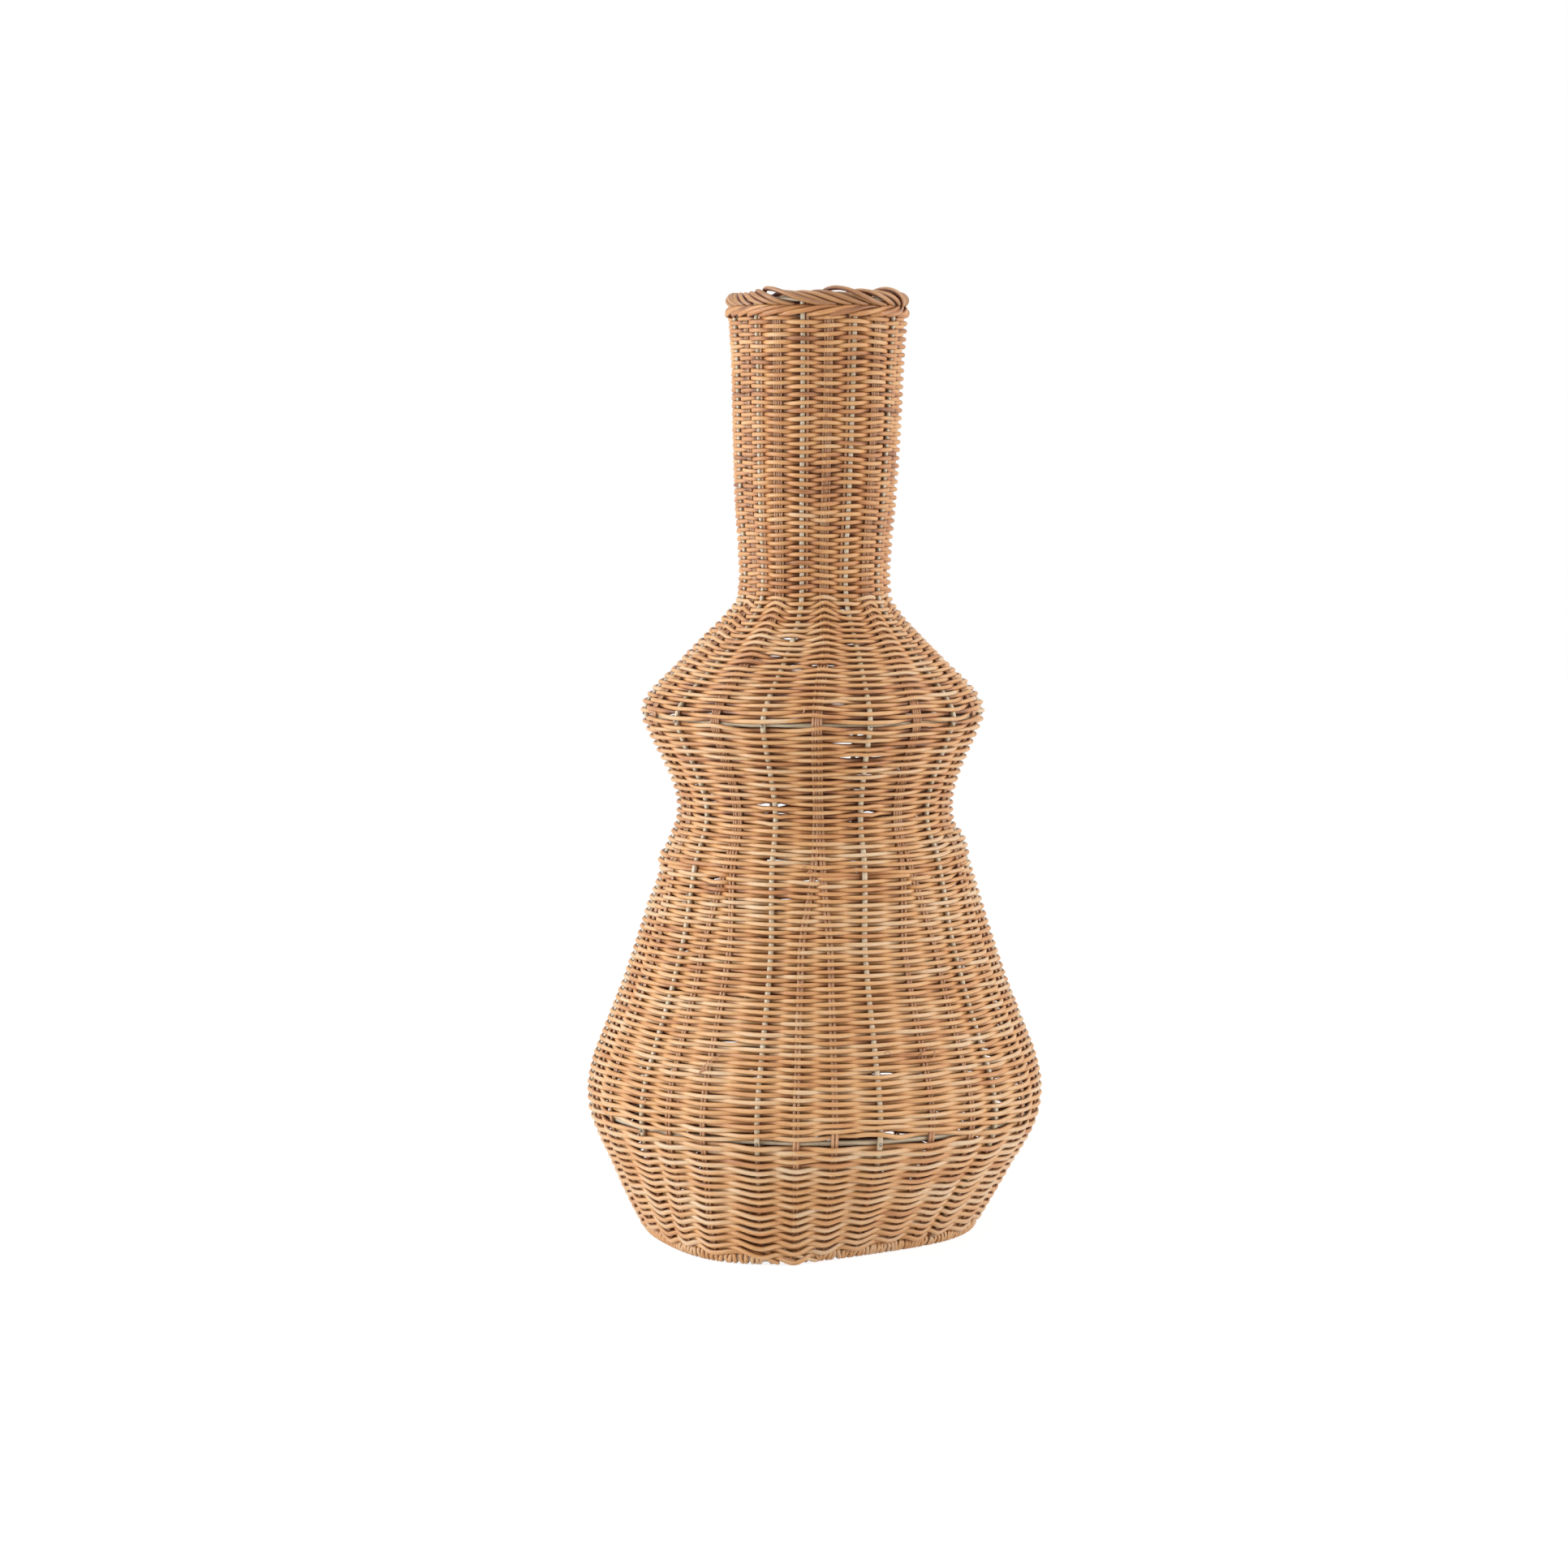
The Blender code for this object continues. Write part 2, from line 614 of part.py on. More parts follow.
def rim(wall):
    """The wale that locks the last row, and the rolled border of bent-over stake ends."""
    wale_out = UPRIGHT_RADIUS + SEAT_GAP + WALE_RADIUS
    wale_height = RIM_HEIGHT + SEAT_GAP + WALE_RADIUS
    twisted_ring(wall, "rim_wale", wale_out, wale_height, WALE_RADIUS,
                 WALE_STRANDS, WALE_TURNS, WALE_STEPS)
    stake_end = wall.line[wall.top][1]
    border_height = stake_end + SEAT_GAP + BORDER_WAVE + BORDER_RADIUS
    twisted_ring(wall, "rim_border", 0.0, border_height, BORDER_RADIUS,
                 BORDER_STRANDS, BORDER_TURNS, BORDER_STEPS, BORDER_WAVE)


def main():
    clear_scene()
    collection(PARTS)
    collection(CUTTERS)
    wall = Wall()
    base_hoop(wall)
    base_binding(wall)
    floor_sticks(wall)
    floor_weave(wall)
    uprights(wall)
    stake_pairs(wall)
    hoop(wall, "belly_hoop", wall.bowl_top, BELLY_SCARF_ANGLE)
    hoop(wall, "shoulder_hoop", wall.shoulder, SHOULDER_SCARF_ANGLE)
    panels(wall)
    rim(wall)


main()
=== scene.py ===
from collections import namedtuple
from math import atan2, pi, radians

import bpy
import numpy as np
from bpy.props import EnumProperty, FloatProperty, FloatVectorProperty, IntProperty, PointerProperty
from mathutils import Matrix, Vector


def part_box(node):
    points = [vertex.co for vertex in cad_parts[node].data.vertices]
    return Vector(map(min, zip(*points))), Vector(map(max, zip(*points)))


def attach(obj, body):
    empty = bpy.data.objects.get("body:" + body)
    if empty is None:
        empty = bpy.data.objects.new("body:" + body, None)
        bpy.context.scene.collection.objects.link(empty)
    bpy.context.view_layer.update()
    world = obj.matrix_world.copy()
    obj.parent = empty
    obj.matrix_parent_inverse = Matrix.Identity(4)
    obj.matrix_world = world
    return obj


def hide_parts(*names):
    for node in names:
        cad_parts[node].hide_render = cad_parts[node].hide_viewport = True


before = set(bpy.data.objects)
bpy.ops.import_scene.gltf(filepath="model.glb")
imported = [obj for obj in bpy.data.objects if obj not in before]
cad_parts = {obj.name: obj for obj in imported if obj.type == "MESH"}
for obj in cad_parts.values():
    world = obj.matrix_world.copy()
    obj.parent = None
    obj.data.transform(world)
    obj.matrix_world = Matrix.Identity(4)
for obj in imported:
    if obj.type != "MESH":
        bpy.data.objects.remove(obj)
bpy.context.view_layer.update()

bl_info = {
    "name": "Woven Rattan Vase",
    "version": (1, 0, 0),
    "blender": (4, 5, 0),
    "location": "3D View > Sidebar > Vase",
    "description": "Weaves a rattan floor vase strand by strand round its frame of canes and hoops",
    "category": "Add Mesh",
}

# Outside of the weave, foot to rim: radius and height
OUTLINE = (
    (0.1092, 0.0020), (0.1235, 0.0294), (0.1315, 0.0463), (0.1402, 0.0631), (0.1456, 0.0785),
    (0.1466, 0.0920), (0.1432, 0.1110), (0.1361, 0.1303), (0.1231, 0.1638), (0.1120, 0.1973),
    (0.1018, 0.2307), (0.0952, 0.2500), (0.0890, 0.2660), (0.0888, 0.2780), (0.0918, 0.2890),
    (0.0988, 0.3055), (0.1065, 0.3220), (0.1100, 0.3320), (0.1088, 0.3395), (0.1040, 0.3471),
    (0.0881, 0.3637), (0.0712, 0.3803), (0.0560, 0.3960), (0.0500, 0.4045), (0.0484, 0.4140),
    (0.0489, 0.4350), (0.0512, 0.4640), (0.0533, 0.5053), (0.0553, 0.5600), (0.0566, 0.5797),
    (0.0568, 0.5930),
)
FINE_STEPS = 40
OUTLINE_TO_MIDDLE = 0.0041


def level(name):
    """Height of a node's middle."""
    low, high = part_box(name)
    return (low.z + high.z) / 2.0


# Heights where the weave changes from one panel to the next
FOOT_HEIGHT = 0.0075
BELLY_HOOP_HEIGHT = level("belly_hoop")
BELLY_MIDDLE_HEIGHT = 0.1640
PAIRS_PART_HEIGHT = 0.2380
WAIST_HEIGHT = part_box("belly_weave")[1].z
SHOULDER_HEIGHT = level("shoulder_hoop")
NECK_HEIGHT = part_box("neck_weave")[0].z
RIM_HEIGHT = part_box("neck_weave")[1].z
STAKE_TOP_HEIGHT = 0.5905

# Spacing round the vase
GROUPS = 10
TURN = 2.0 * pi
NECK_FRONT_ANGLE = radians(6.7)
TWIST = radians(-5.8)
PAIR_SPREAD = radians(6.0)
PAIR_PITCH = 0.0043
JOIN_HEIGHT = 0.2580
SPLIT_HEIGHT = 0.1880
UPRIGHT_DRIFT = np.radians((-3.1, -3.8, -1.5, 1.0, -1.2, 0.8, 1.6, 2.0, 4.1, 2.4))
LEFT_PAIR_DRIFT = np.radians((0.1, -1.1, -1.0, 0.8, -0.5, 0.6, -0.9, 0.7, 1.0, 1.3))
RIGHT_PAIR_DRIFT = np.radians((-2.4, -0.5, 0.4, -0.6, 0.9, -0.8, 0.5, -0.4, 0.6, -0.2))

# How much slimmer the thin strands get, and between which heights
THINNING = ((0.21, 0.235, 0.290), (0.09, 0.345, 0.430))

# Departures of the woven shape from round
NECK_CORNER = 0.0017
NECK_CORNERS = 5
CORNER_ANGLE = radians(42.7)
SHOULDER_RIB = 0.0016
FOOT_BULGE = 0.0160
FOOT_BULGE_ANGLE = radians(-24)
FOOT_BULGE_SPREAD = radians(18)
FOOT_FLAT = 0.0122
FOOT_FLAT_ANGLE = radians(33)
FOOT_FLAT_SPREAD = radians(24)
FOOT_SAG = 0.0066
FOOT_SAG_ANGLE = radians(-7)
FOOT_SAG_SPREAD = radians(12)
FOOT_SAG_FADE = 0.020
FOOT_SAG_OUTWARD = 0.45
# Ledges below the waist: angle, height of the upper edge, and how far they stand out
LEDGES = (
    (radians(90), 0.2552, 0.0024),
    (radians(-90), 0.2437, 0.0016),
    (radians(-90), 0.2330, -0.0022),
)
LEDGE_SPREAD = radians(32)
LEDGE_EDGE = 0.0015
LEDGE_FADE = 0.0260

# How far the hand-made axis stands off to the right, and at which heights
FOOT_OFFSET = -0.0030
SHOULDER_OFFSET = -0.0015
RIM_OFFSET = 0.0020
BELLY_HEIGHT = 0.0920
LEAN_STOPS = (0.0, BELLY_HEIGHT, WAIST_HEIGHT, SHOULDER_HEIGHT, NECK_HEIGHT, RIM_HEIGHT)
LEAN_OFFSETS = (FOOT_OFFSET, 0.0, 0.0, SHOULDER_OFFSET, 0.0, RIM_OFFSET)

# Base ring
BASE_HOOP_RADIUS = 0.0030
BASE_HEIGHT = level("base_hoop")
BASE_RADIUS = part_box("base_hoop")[1].y - BASE_HOOP_RADIUS

# From the lens to the vase's axis, and of the lens above the floor
VIEW_DISTANCE = 2.37
VIEW_HEIGHT = 0.532


def smooth(value):
    """0 to 1 with an easy start and end."""
    value = np.clip(value, 0.0, 1.0)
    return value * value * (3.0 - 2.0 * value)


def between(value, low, high):
    """0 below low, 1 above high, and smooth between them."""
    return smooth((value - low) / (high - low))


def bell(value, width):
    """1 at nothing, and falling off to both sides over this width."""
    return np.exp(-((value / width) ** 2))


def wrapped(angle):
    """The same direction, as an angle of at most half a turn either way."""
    return (angle + pi) % TURN - pi


def unit(vectors):
    """The same directions, each one long."""
    lengths = np.linalg.norm(vectors, axis=-1, keepdims=True)
    return vectors / np.maximum(lengths, 1e-12)


def along_line(points):
    """How far along the line through them each of these points lies."""
    return np.concatenate(([0.0], np.cumsum(np.linalg.norm(np.diff(points, axis=0), axis=1))))


class Wall:
    """The line at the middle of the wall that stakes follow, measured along itself from the foot."""

    def __init__(self):
        corners = np.array(OUTLINE)
        marks = along_line(corners)
        slopes = np.gradient(corners, marks, axis=0)
        fine = np.linspace(0.0, marks[-1], FINE_STEPS * len(corners))
        index = np.clip(np.searchsorted(marks, fine, side="right") - 1, 0, len(marks) - 2)
        span = (marks[index + 1] - marks[index])[:, None]
        t = (fine - marks[index])[:, None] / span
        outer = (
            (2 * t**3 - 3 * t**2 + 1) * corners[index]
            + (t**3 - 2 * t**2 + t) * span * slopes[index]
            + (3 * t**2 - 2 * t**3) * corners[index + 1]
            + (t**3 - t**2) * span * slopes[index + 1]
        )
        tangent = unit(np.gradient(outer, fine, axis=0))
        self.normal = np.stack((tangent[:, 1], -tangent[:, 0]), axis=1)
        self.line = outer - self.normal * OUTLINE_TO_MIDDLE
        self.run = along_line(self.line)

    def radius(self, run):
        """Radius of the line this far along it."""
        return np.interp(run, self.run, self.line[:, 0])

    def height(self, run):
        """Height of the line this far along it."""
        return np.interp(run, self.run, self.line[:, 1])

    def at_height(self, height):
        """How far along the line this height comes."""
        return np.interp(height, self.line[:, 1], self.run)

    def outward(self, run):
        """Radial and upward parts of the step square to the wall."""
        return tuple(np.interp(run, self.run, part) for part in self.normal.T)

    def place(self, run, angle, offset):
        """Points this far outside the line, with the hand-made lean and unevenness."""
        out, up = self.outward(run)
        height = self.height(run)
        reach = self.radius(run) + out * offset + out_of_round(angle, height)
        return around(reach, angle, height + up * offset, lean(height))

    def facing(self, run, angle):
        """Unit vectors that point straight out of the wall."""
        out, up = self.outward(run)
        return unit(around(out, angle, up, 0.0))


def around(radius, angle, height, side):
    """Points about an upright axis that stands this far to the right."""
    parts = (radius * np.sin(angle) + side, -radius * np.cos(angle), height + 0.0 * angle)
    return np.stack(np.broadcast_arrays(*parts), axis=-1)


def lean(height):
    """How far the hand-made axis stands off to the right at this height."""
    total = FOOT_OFFSET
    for low, high, start, end in zip(LEAN_STOPS, LEAN_STOPS[1:], LEAN_OFFSETS, LEAN_OFFSETS[1:]):
        total = total + (end - start) * between(height, low, high)
    return total


def twist(height):
    """How far the stakes are turned at this height, against the neck."""
    return TWIST * (1.0 - between(height, SHOULDER_HEIGHT, NECK_HEIGHT))


def group_angle(group, height):
    """Angle of the middle between two uprights."""
    return NECK_FRONT_ANGLE + twist(height) + group * TURN / GROUPS


def out_of_round(angle, height):
    """Extra radius: the uneven foot, the ledges, the shoulder's ribs and the neck's corners."""
    bulge = FOOT_BULGE * bell(wrapped(angle) - FOOT_BULGE_ANGLE, FOOT_BULGE_SPREAD) ** 0.5
    flat = FOOT_FLAT * bell(wrapped(angle) - FOOT_FLAT_ANGLE, FOOT_FLAT_SPREAD) ** 0.5
    extra = (bulge - flat) * (1.0 - between(height, 0.0, BELLY_HOOP_HEIGHT))
    for middle, top, reach in LEDGES:
        under = 1.0 - between(height, top - LEDGE_EDGE, top + LEDGE_EDGE)
        under = under * between(height, top - LEDGE_FADE, top - 2.0 * LEDGE_EDGE)
        extra = extra + reach * under * bell(wrapped(angle - middle), LEDGE_SPREAD)
    in_neck = between(height, SHOULDER_HEIGHT, NECK_HEIGHT)
    rib = SHOULDER_RIB * np.sin(pi * in_neck) * np.cos(GROUPS * (angle - group_angle(0, height)))
    return extra + rib + NECK_CORNER * in_neck * np.cos(NECK_CORNERS * (angle - CORNER_ANGLE))


def spread_at(height):
    """1 where the pairs stand apart on the belly, 0 where they lie side by side."""
    return 1.0 - between(height, SPLIT_HEIGHT, JOIN_HEIGHT)


def upright_angle(group, height):
    """Angle of one stout cane."""
    return group_angle(group + 0.5, height) + UPRIGHT_DRIFT[group] * spread_at(height)


def thinning(height):
    """Share of their thickness that the thin strands keep at this height."""
    return 1.0 - sum(share * between(height, low, high) for share, low, high in THINNING)


def pair_angle(group, side, height, radius):
    """Angle of one pair: apart on the belly, side by side from the waist up."""
    together = PAIR_PITCH * thinning(height) / 2.0 / radius
    apart = side * (PAIR_SPREAD - together) + (LEFT_PAIR_DRIFT if side < 0 else RIGHT_PAIR_DRIFT)[group]
    return group_angle(group, height) + side * together + apart * spread_at(height)


WALL = Wall()
DICE = np.random.RandomState(20240611)
# Each step has dice of its own, so it comes out the same whatever the others draw
SEEDS = {"uprights": 7, "pairs": 8, "base": 9, "floor": 10, "rim": 11, "fibres": 12, "weave": 100}


# Strands

# Middle line, outward directions, half its height and depth, whether its ends meet, and its tone, which on
# the weavers also carries painted shade behind the stakes
Strand = namedtuple("Strand", "points facing half_height half_depth closed tone")
SIDES = 8
# The two rings that round off an end: how far past it they lie, and how stout they are
END_REACHES = np.array((0.50, 0.85))
END_SHARES = np.array((0.86, 0.50))
# Shift of the grain from one strand to the next, and each strand's place in its strip of the map
GRAIN_SHIFT = 3.7
MAP_EDGE = 0.04
MAP_WIDTH = 0.92


def open_strand(points, facing, radius, tone, flat=1.0):
    """A strand of its own length, with both ends rounded off."""
    radius = np.broadcast_to(radius, (len(points),))
    start, finish = unit(points[0] - points[1]), unit(points[-1] - points[-2])
    head = points[0] + start * (radius[0] * END_REACHES[::-1])[:, None]
    tail = points[-1] + finish * (radius[-1] * END_REACHES)[:, None]
    tone = np.pad(np.broadcast_to(tone, (len(points),)), 2, mode="edge")
    points = np.concatenate((head, points, tail))
    facing = np.concatenate((facing[[0, 0]], facing, facing[[-1, -1]]))
    radius = np.concatenate((radius[0] * END_SHARES[::-1], radius, radius[-1] * END_SHARES))
    return Strand(points, facing, radius, radius * flat, False, tone)


def wall_strand(run, angle, offset, radius, tone, flat=1.0):
    """A strand that follows the wall, this far outside its middle line."""
    return open_strand(WALL.place(run, angle, offset), WALL.facing(run, angle), radius, tone, flat)


def joined(parts, kind=np.float32):
    """One flat list of numbers from many."""
    return np.concatenate(parts).astype(kind).ravel()


def strand_mesh(name, strands, sides):
    """One mesh of many strands, with the lay of their fibres, their shades and a map for baking."""
    spots, fibres, tones, loops, counts, uvs = [], [], [], [], [], []
    base = 0
    side = np.arange(sides)
    lay = TURN * side / sides
    for number, (points, facing, half_height, half_depth, closed, tone) in enumerate(strands):
        rings = len(points)
        if closed:
            along = unit(np.roll(points, -1, axis=0) - np.roll(points, 1, axis=0))
        else:
            along = unit(np.gradient(points, axis=0))
        out = unit(facing - np.sum(facing * along, axis=1, keepdims=True) * along)
        up = np.cross(along, out)
        depth = np.broadcast_to(half_depth, (rings,))[:, None] * np.cos(lay)
        rise = np.broadcast_to(half_height, (rings,))[:, None] * np.sin(lay)
        skin = points[:, None] + out[:, None] * depth[..., None] + up[:, None] * rise[..., None]
        spots.append(skin.reshape(-1, 3))
        run = (along_line(points) + GRAIN_SHIFT * number)[:, None]
        fibre = np.stack(np.broadcast_arrays(run, np.cos(lay), np.sin(lay)), axis=-1)
        fibres.append(fibre.reshape(-1, 3))
        tones.append(np.repeat(np.broadcast_to(tone, (rings,)), sides))
        last = rings if closed else rings - 1
        here = np.arange(last)[:, None]
        ahead = (here + 1) % rings
        turned = (side + 1) % sides
        quads = (here * sides + side, here * sides + turned, ahead * sides + turned, ahead * sides + side)
        loops.append(base + np.stack(quads, axis=-1).ravel())
        counts.append(np.full(last * sides, 4))
        u0, u1 = here / last, (here + 1) / last
        v0, v1 = (
            (number + MAP_EDGE + MAP_WIDTH * edge / sides) / len(strands) for edge in (side, side + 1)
        )
        corners = np.broadcast_arrays(u0, v0, u0, v1, u1, v1, u1, v0)
        uvs.append(np.stack(corners, axis=-1).reshape(-1, 2))
        if not closed:
            for end, ring, order in ((0.0, 0, -1), (1.0, rings - 1, 1)):
                loops.append(base + ring * sides + side[::order])
                counts.append(np.array([sides]))
                uvs.append(np.full((sides, 2), (end, (number + MAP_EDGE / 2.0) / len(strands))))
        base += rings * sides
    mesh = bpy.data.meshes.new(name)
    counts = joined(counts, np.int32)
    loops = joined(loops, np.int32)
    mesh.vertices.add(base)
    mesh.vertices.foreach_set("co", joined(spots))
    mesh.loops.add(len(loops))
    mesh.loops.foreach_set("vertex_index", loops)
    mesh.polygons.add(len(counts))
    mesh.polygons.foreach_set("loop_start", (np.cumsum(counts) - counts).astype(np.int32))
    mesh.update(calc_edges=True)
    mesh.shade_smooth()
    mesh.attributes.new("fibre", "FLOAT_VECTOR", "POINT").data.foreach_set("vector", joined(fibres))
    mesh.attributes.new("tone", "FLOAT", "POINT").data.foreach_set("value", joined(tones))
    mesh.uv_layers.new(name="OFBake").data.foreach_set("uv", joined(uvs))
    return mesh


# Weave

# Solid, lowest and highest row, rows, points between stakes, thickness of the strands against the
# usual one, how far out they reach over a stake, share of each rise and fall that is straight, how
# much paler or darker the panel's colour is set, and how much painted shade darkens a strand where it
# passes behind a stake
Panel = namedtuple("Panel", "node low high rows samples fullness reach straight shade hidden")
# On the bowl and the neck the panel's shade is partly painted light: the bowl is made paler and the neck
# darker to even out how brightly they are lit
PANELS = {
    "bowl": Panel(
        "bowl_weave", FOOT_HEIGHT, BELLY_HOOP_HEIGHT, 30, 10, 1.27, 0.80, 0.1, 0.25, 0.8),
    "belly_lower": Panel(
        "belly_weave", BELLY_HOOP_HEIGHT, BELLY_MIDDLE_HEIGHT, 36, 7, 1.11, 0.79, 0.5, 0.05, 0.7),
    "belly_upper": Panel(
        "belly_weave", BELLY_MIDDLE_HEIGHT, WAIST_HEIGHT, 45, 7, 1.06, 0.79, 0.6, 0.05, 0.9),
    "waist": Panel(
        "waist_weave", WAIST_HEIGHT, SHOULDER_HEIGHT, 26, 8, 1.02, 0.86, 0.6, 0.0, 1.8),
    "shoulder": Panel(
        "shoulder_weave", SHOULDER_HEIGHT, NECK_HEIGHT, 38, 8, 1.03, 0.78, 0.6, 0.05, 2.2),
    "neck": Panel(
        "neck_weave", NECK_HEIGHT, RIM_HEIGHT + 0.0021, 70, 6, 1.10, 0.90, 0.6, -0.50, 1.7),
}

# Hoops inside the uprights: how far below and above them the rows end, where the scarf joint
# lies, and the stretches, from and to angle, with how far the gaps below and above stay open
Hoop = namedtuple("Hoop", "height below above scarf windows")
HOOPS = {
    "belly_hoop": Hoop(BELLY_HOOP_HEIGHT, 0.0018, 0.0030, radians(-13), (
        (-17, 18, 1.0, 0.8), (-3, 33, 0.7, 1.25), (0, 22, 0.6, 2.0), (-62, -47, 0.5, 0.5),
        (100, 150, 0.9, 0.9), (200, 236, 0.7, 0.7),
    )),
    "shoulder_hoop": Hoop(SHOULDER_HEIGHT, 0.0017, 0.0021, radians(-12), (
        (-27, 2, 0.95, 0.95), (4, 26, 0.6, 0.6), (110, 160, 0.8, 0.8), (-110, -76, 0.6, 0.6),
    )),
}
WINDOW_EASE = radians(6.0)
# How far from a hoop the rows still close over it, how fast that fades, and how firmly they do so
# where they run behind the stakes and how much more in front
HOOP_REACH = 0.03
HOOP_FADE = 0.010
CLOSING_BEHIND = 0.60
CLOSING_IN_FRONT = 0.40

# Slow unevenness of the rows: how many times round, how many times up, size and start
DRIFT_WAVES = tuple(
    (DICE.randint(1, 9), DICE.uniform(15.0, 70.0), DICE.uniform(0.00005, 0.00015), DICE.uniform(0, TURN))
    for _ in range(14)
)
# Unevenness of each single row: its lift at each stake, then times round and size of its waves
UNEVEN = 0.00012
WOBBLES = ((3, 0.00013), (7, 0.00009), (17, 0.00005))
THICKNESS_DRIFT = 0.05

# How far rows keep level on a sloping wall
LEVEL_SHARE = 0.80

# Weavers: thickness before and behind the stakes, and depth, against the usual size
WEAVER_BEFORE = 0.96
WEAVER_BEHIND = 0.98
WEAVER_FLAT = 0.98
# How quickly painted shade sets in as a weaver leaves the front of a stake
BEHIND_SHADE_EDGE = 1.7

# Stretch of a row that lies straight over a stake: half its width against the pair, the group or
# the upright, and the largest share of the way to the next stake that it takes
PAIR_HALF = 0.7
GROUP_HALF = 1.4
UPRIGHT_HALF = 0.38
FLAT_LIMIT = 0.30
PAIR_CLEAR_BEFORE = 0.0002
PAIR_CLEAR_BEHIND = 0.0003

# Sag of the rows between the stakes of the bowl: its parts, and the heights where each fades
SCALLOPS = ((0.0008, 0.008, 0.055), (0.0005, 0.055, 0.085), (0.0002, 0.080, 0.130))

# Peaks of the shoulder's rows over the thin groups: size at first and what the neck's foot adds,
# the heights where they start, end and grow, how wide they are, and how much of them is a dip
PEAK_SIZE = 0.0012
PEAK_GROWTH = 0.0030
PEAK_START = (0.315, 0.340)
PEAK_END = (0.400, 0.410)
PEAK_GROWING = (0.350, 0.402)
PEAK_WIDTH = radians(6.5)
PEAK_DIP = 0.3

# Places where two rows part: angle, height, how far, and how wide
CHOSEN_GAPS = (
    (22, 0.401, 0.0011, 4), (15, 0.393, 0.0011, 4), (-1, 0.385, 0.0011, 4), (-11, 0.383, 0.0013, 4),
    (-16, 0.384, 0.0012, 4), (28, 0.380, 0.0010, 4), (18, 0.379, 0.0012, 4), (-20, 0.372, 0.0012, 4),
    (-29, 0.371, 0.0011, 4), (-29, 0.368, 0.0012, 4), (-10, 0.368, 0.0015, 3), (-1, 0.368, 0.0014, 3),
    (7, 0.368, 0.0015, 3), (-8, 0.365, 0.0012, 4), (9, 0.346, 0.0011, 3), (15, 0.325, 0.0011, 4),
    (12, 0.320, 0.0014, 5), (21, 0.322, 0.0011, 4), (14, 0.312, 0.0014, 4), (22, 0.313, 0.0010, 4),
    (-21, 0.2804, 0.0010, 2), (-15, 0.2804, 0.0010, 2), (-20, 0.276, 0.0010, 2), (-15, 0.276, 0.0010, 2),
    (-18, 0.2717, 0.0010, 2), (24, 0.277, 0.0010, 2), (16, 0.2717, 0.0010, 2), (-18, 0.249, 0.0009, 3),
    (1, 0.2475, 0.0009, 3), (-1, 0.236, 0.0010, 3), (-11, 0.2255, 0.0009, 3), (-13, 0.2175, 0.0009, 3),
    (16, 0.240, 0.0008, 3), (-40, 0.235, 0.0008, 3), (-22, 0.166, 0.0007, 3), (-24, 0.139, 0.0008, 3),
    (17, 0.123, 0.0009, 4), (-5, 0.074, 0.0011, 3), (-4, 0.068, 0.0012, 4),
    (2, 0.084, 0.0014, 3), (9, 0.084, 0.0012, 3), (20, 0.084, 0.0017, 4),
)
# The far side's gap against the near one, and the shares of the sight line where it may lie
FAR_GAP_SIZE = 1.3
FAR_GAP_WIDTH = 1.7
BEYOND = np.linspace(0.01, 0.14, 900)[:, None]
# Small gaps anywhere: how many, and the limits of their heights, sizes and widths
SMALL_GAPS = 70
SMALL_GAP_HEIGHTS = (0.02, 0.40)
SMALL_GAP_SIZES = (0.0002, 0.0007)
SMALL_GAP_WIDTHS = (3.0, 7.0)
# How far up and down a gap moves the rows, and how sharply it parts them
GAP_REACH = 0.0045
GAP_EDGE = 0.0008


def panel_runs(panel):
    """How far along the wall each row of a panel lies."""
    start, end = WALL.at_height(panel.low), WALL.at_height(panel.high)
    for hoop in HOOPS.values():
        if panel.low == hoop.height:
            start += hoop.above
        if panel.high == hoop.height:
            end -= hoop.below
    return start + (np.arange(panel.rows) + 0.5) * (end - start) / panel.rows


def between_rows(height):
    """The nearest place along the wall that lies halfway between two rows."""
    runs = np.concatenate([panel_runs(panel) for panel in PANELS.values()])
    halfway = (runs[1:] + runs[:-1]) / 2.0
    return halfway[np.argmin(np.abs(halfway - WALL.at_height(height)))]


def far_side(angle, height):
    """Where a look through the wall at this place, from the lens, meets the wall again."""
    radius = WALL.radius(WALL.at_height(height))
    near = np.array((radius * np.sin(angle), -radius * np.cos(angle), height))
    beyond = near + (near - np.array((0.0, -VIEW_DISTANCE, VIEW_HEIGHT))) * BEYOND
    outside = np.hypot(beyond[:, 0], beyond[:, 1]) > WALL.radius(WALL.at_height(beyond[:, 2]))
    spot = beyond[np.argmax(outside)]
    return atan2(spot[0], -spot[1]), float(spot[2])


def gap_list():
    """Angle, place along the wall, size, slide along the wall and width of every gap."""
    gaps = []
    for angle, height, size, width in CHOSEN_GAPS:
        near = between_rows(height)
        gaps.append((radians(angle), near, size, 0.0, radians(width)))
        behind, lower = far_side(radians(angle), float(WALL.height(near)))
        far = between_rows(lower)
        slide = float(WALL.at_height(lower)) - far
        gaps.append((behind, far, FAR_GAP_SIZE * size, slide, radians(FAR_GAP_WIDTH * width)))
    for _ in range(SMALL_GAPS):
        run = between_rows(DICE.uniform(*SMALL_GAP_HEIGHTS))
        angle, size = DICE.uniform(-pi, pi), DICE.uniform(*SMALL_GAP_SIZES)
        gaps.append((angle, run, size, 0.0, radians(DICE.uniform(*SMALL_GAP_WIDTHS))))
    return gaps


GAPS = gap_list()


def hoop_opening(angle, hoop, is_above):
    """0 where the rows below or above close over the hoop, and 1 or more where it lies bare."""
    opening = np.zeros(np.shape(angle))
    for start, end, below, above in hoop.windows:
        away = np.abs(wrapped(angle - radians((start + end) / 2.0)))
        half = radians((end - start) / 2.0)
        inside = 1.0 - between(away, half - WINDOW_EASE, half + WINDOW_EASE)
        opening = np.maximum(opening, (above if is_above else below) * inside)
    return opening


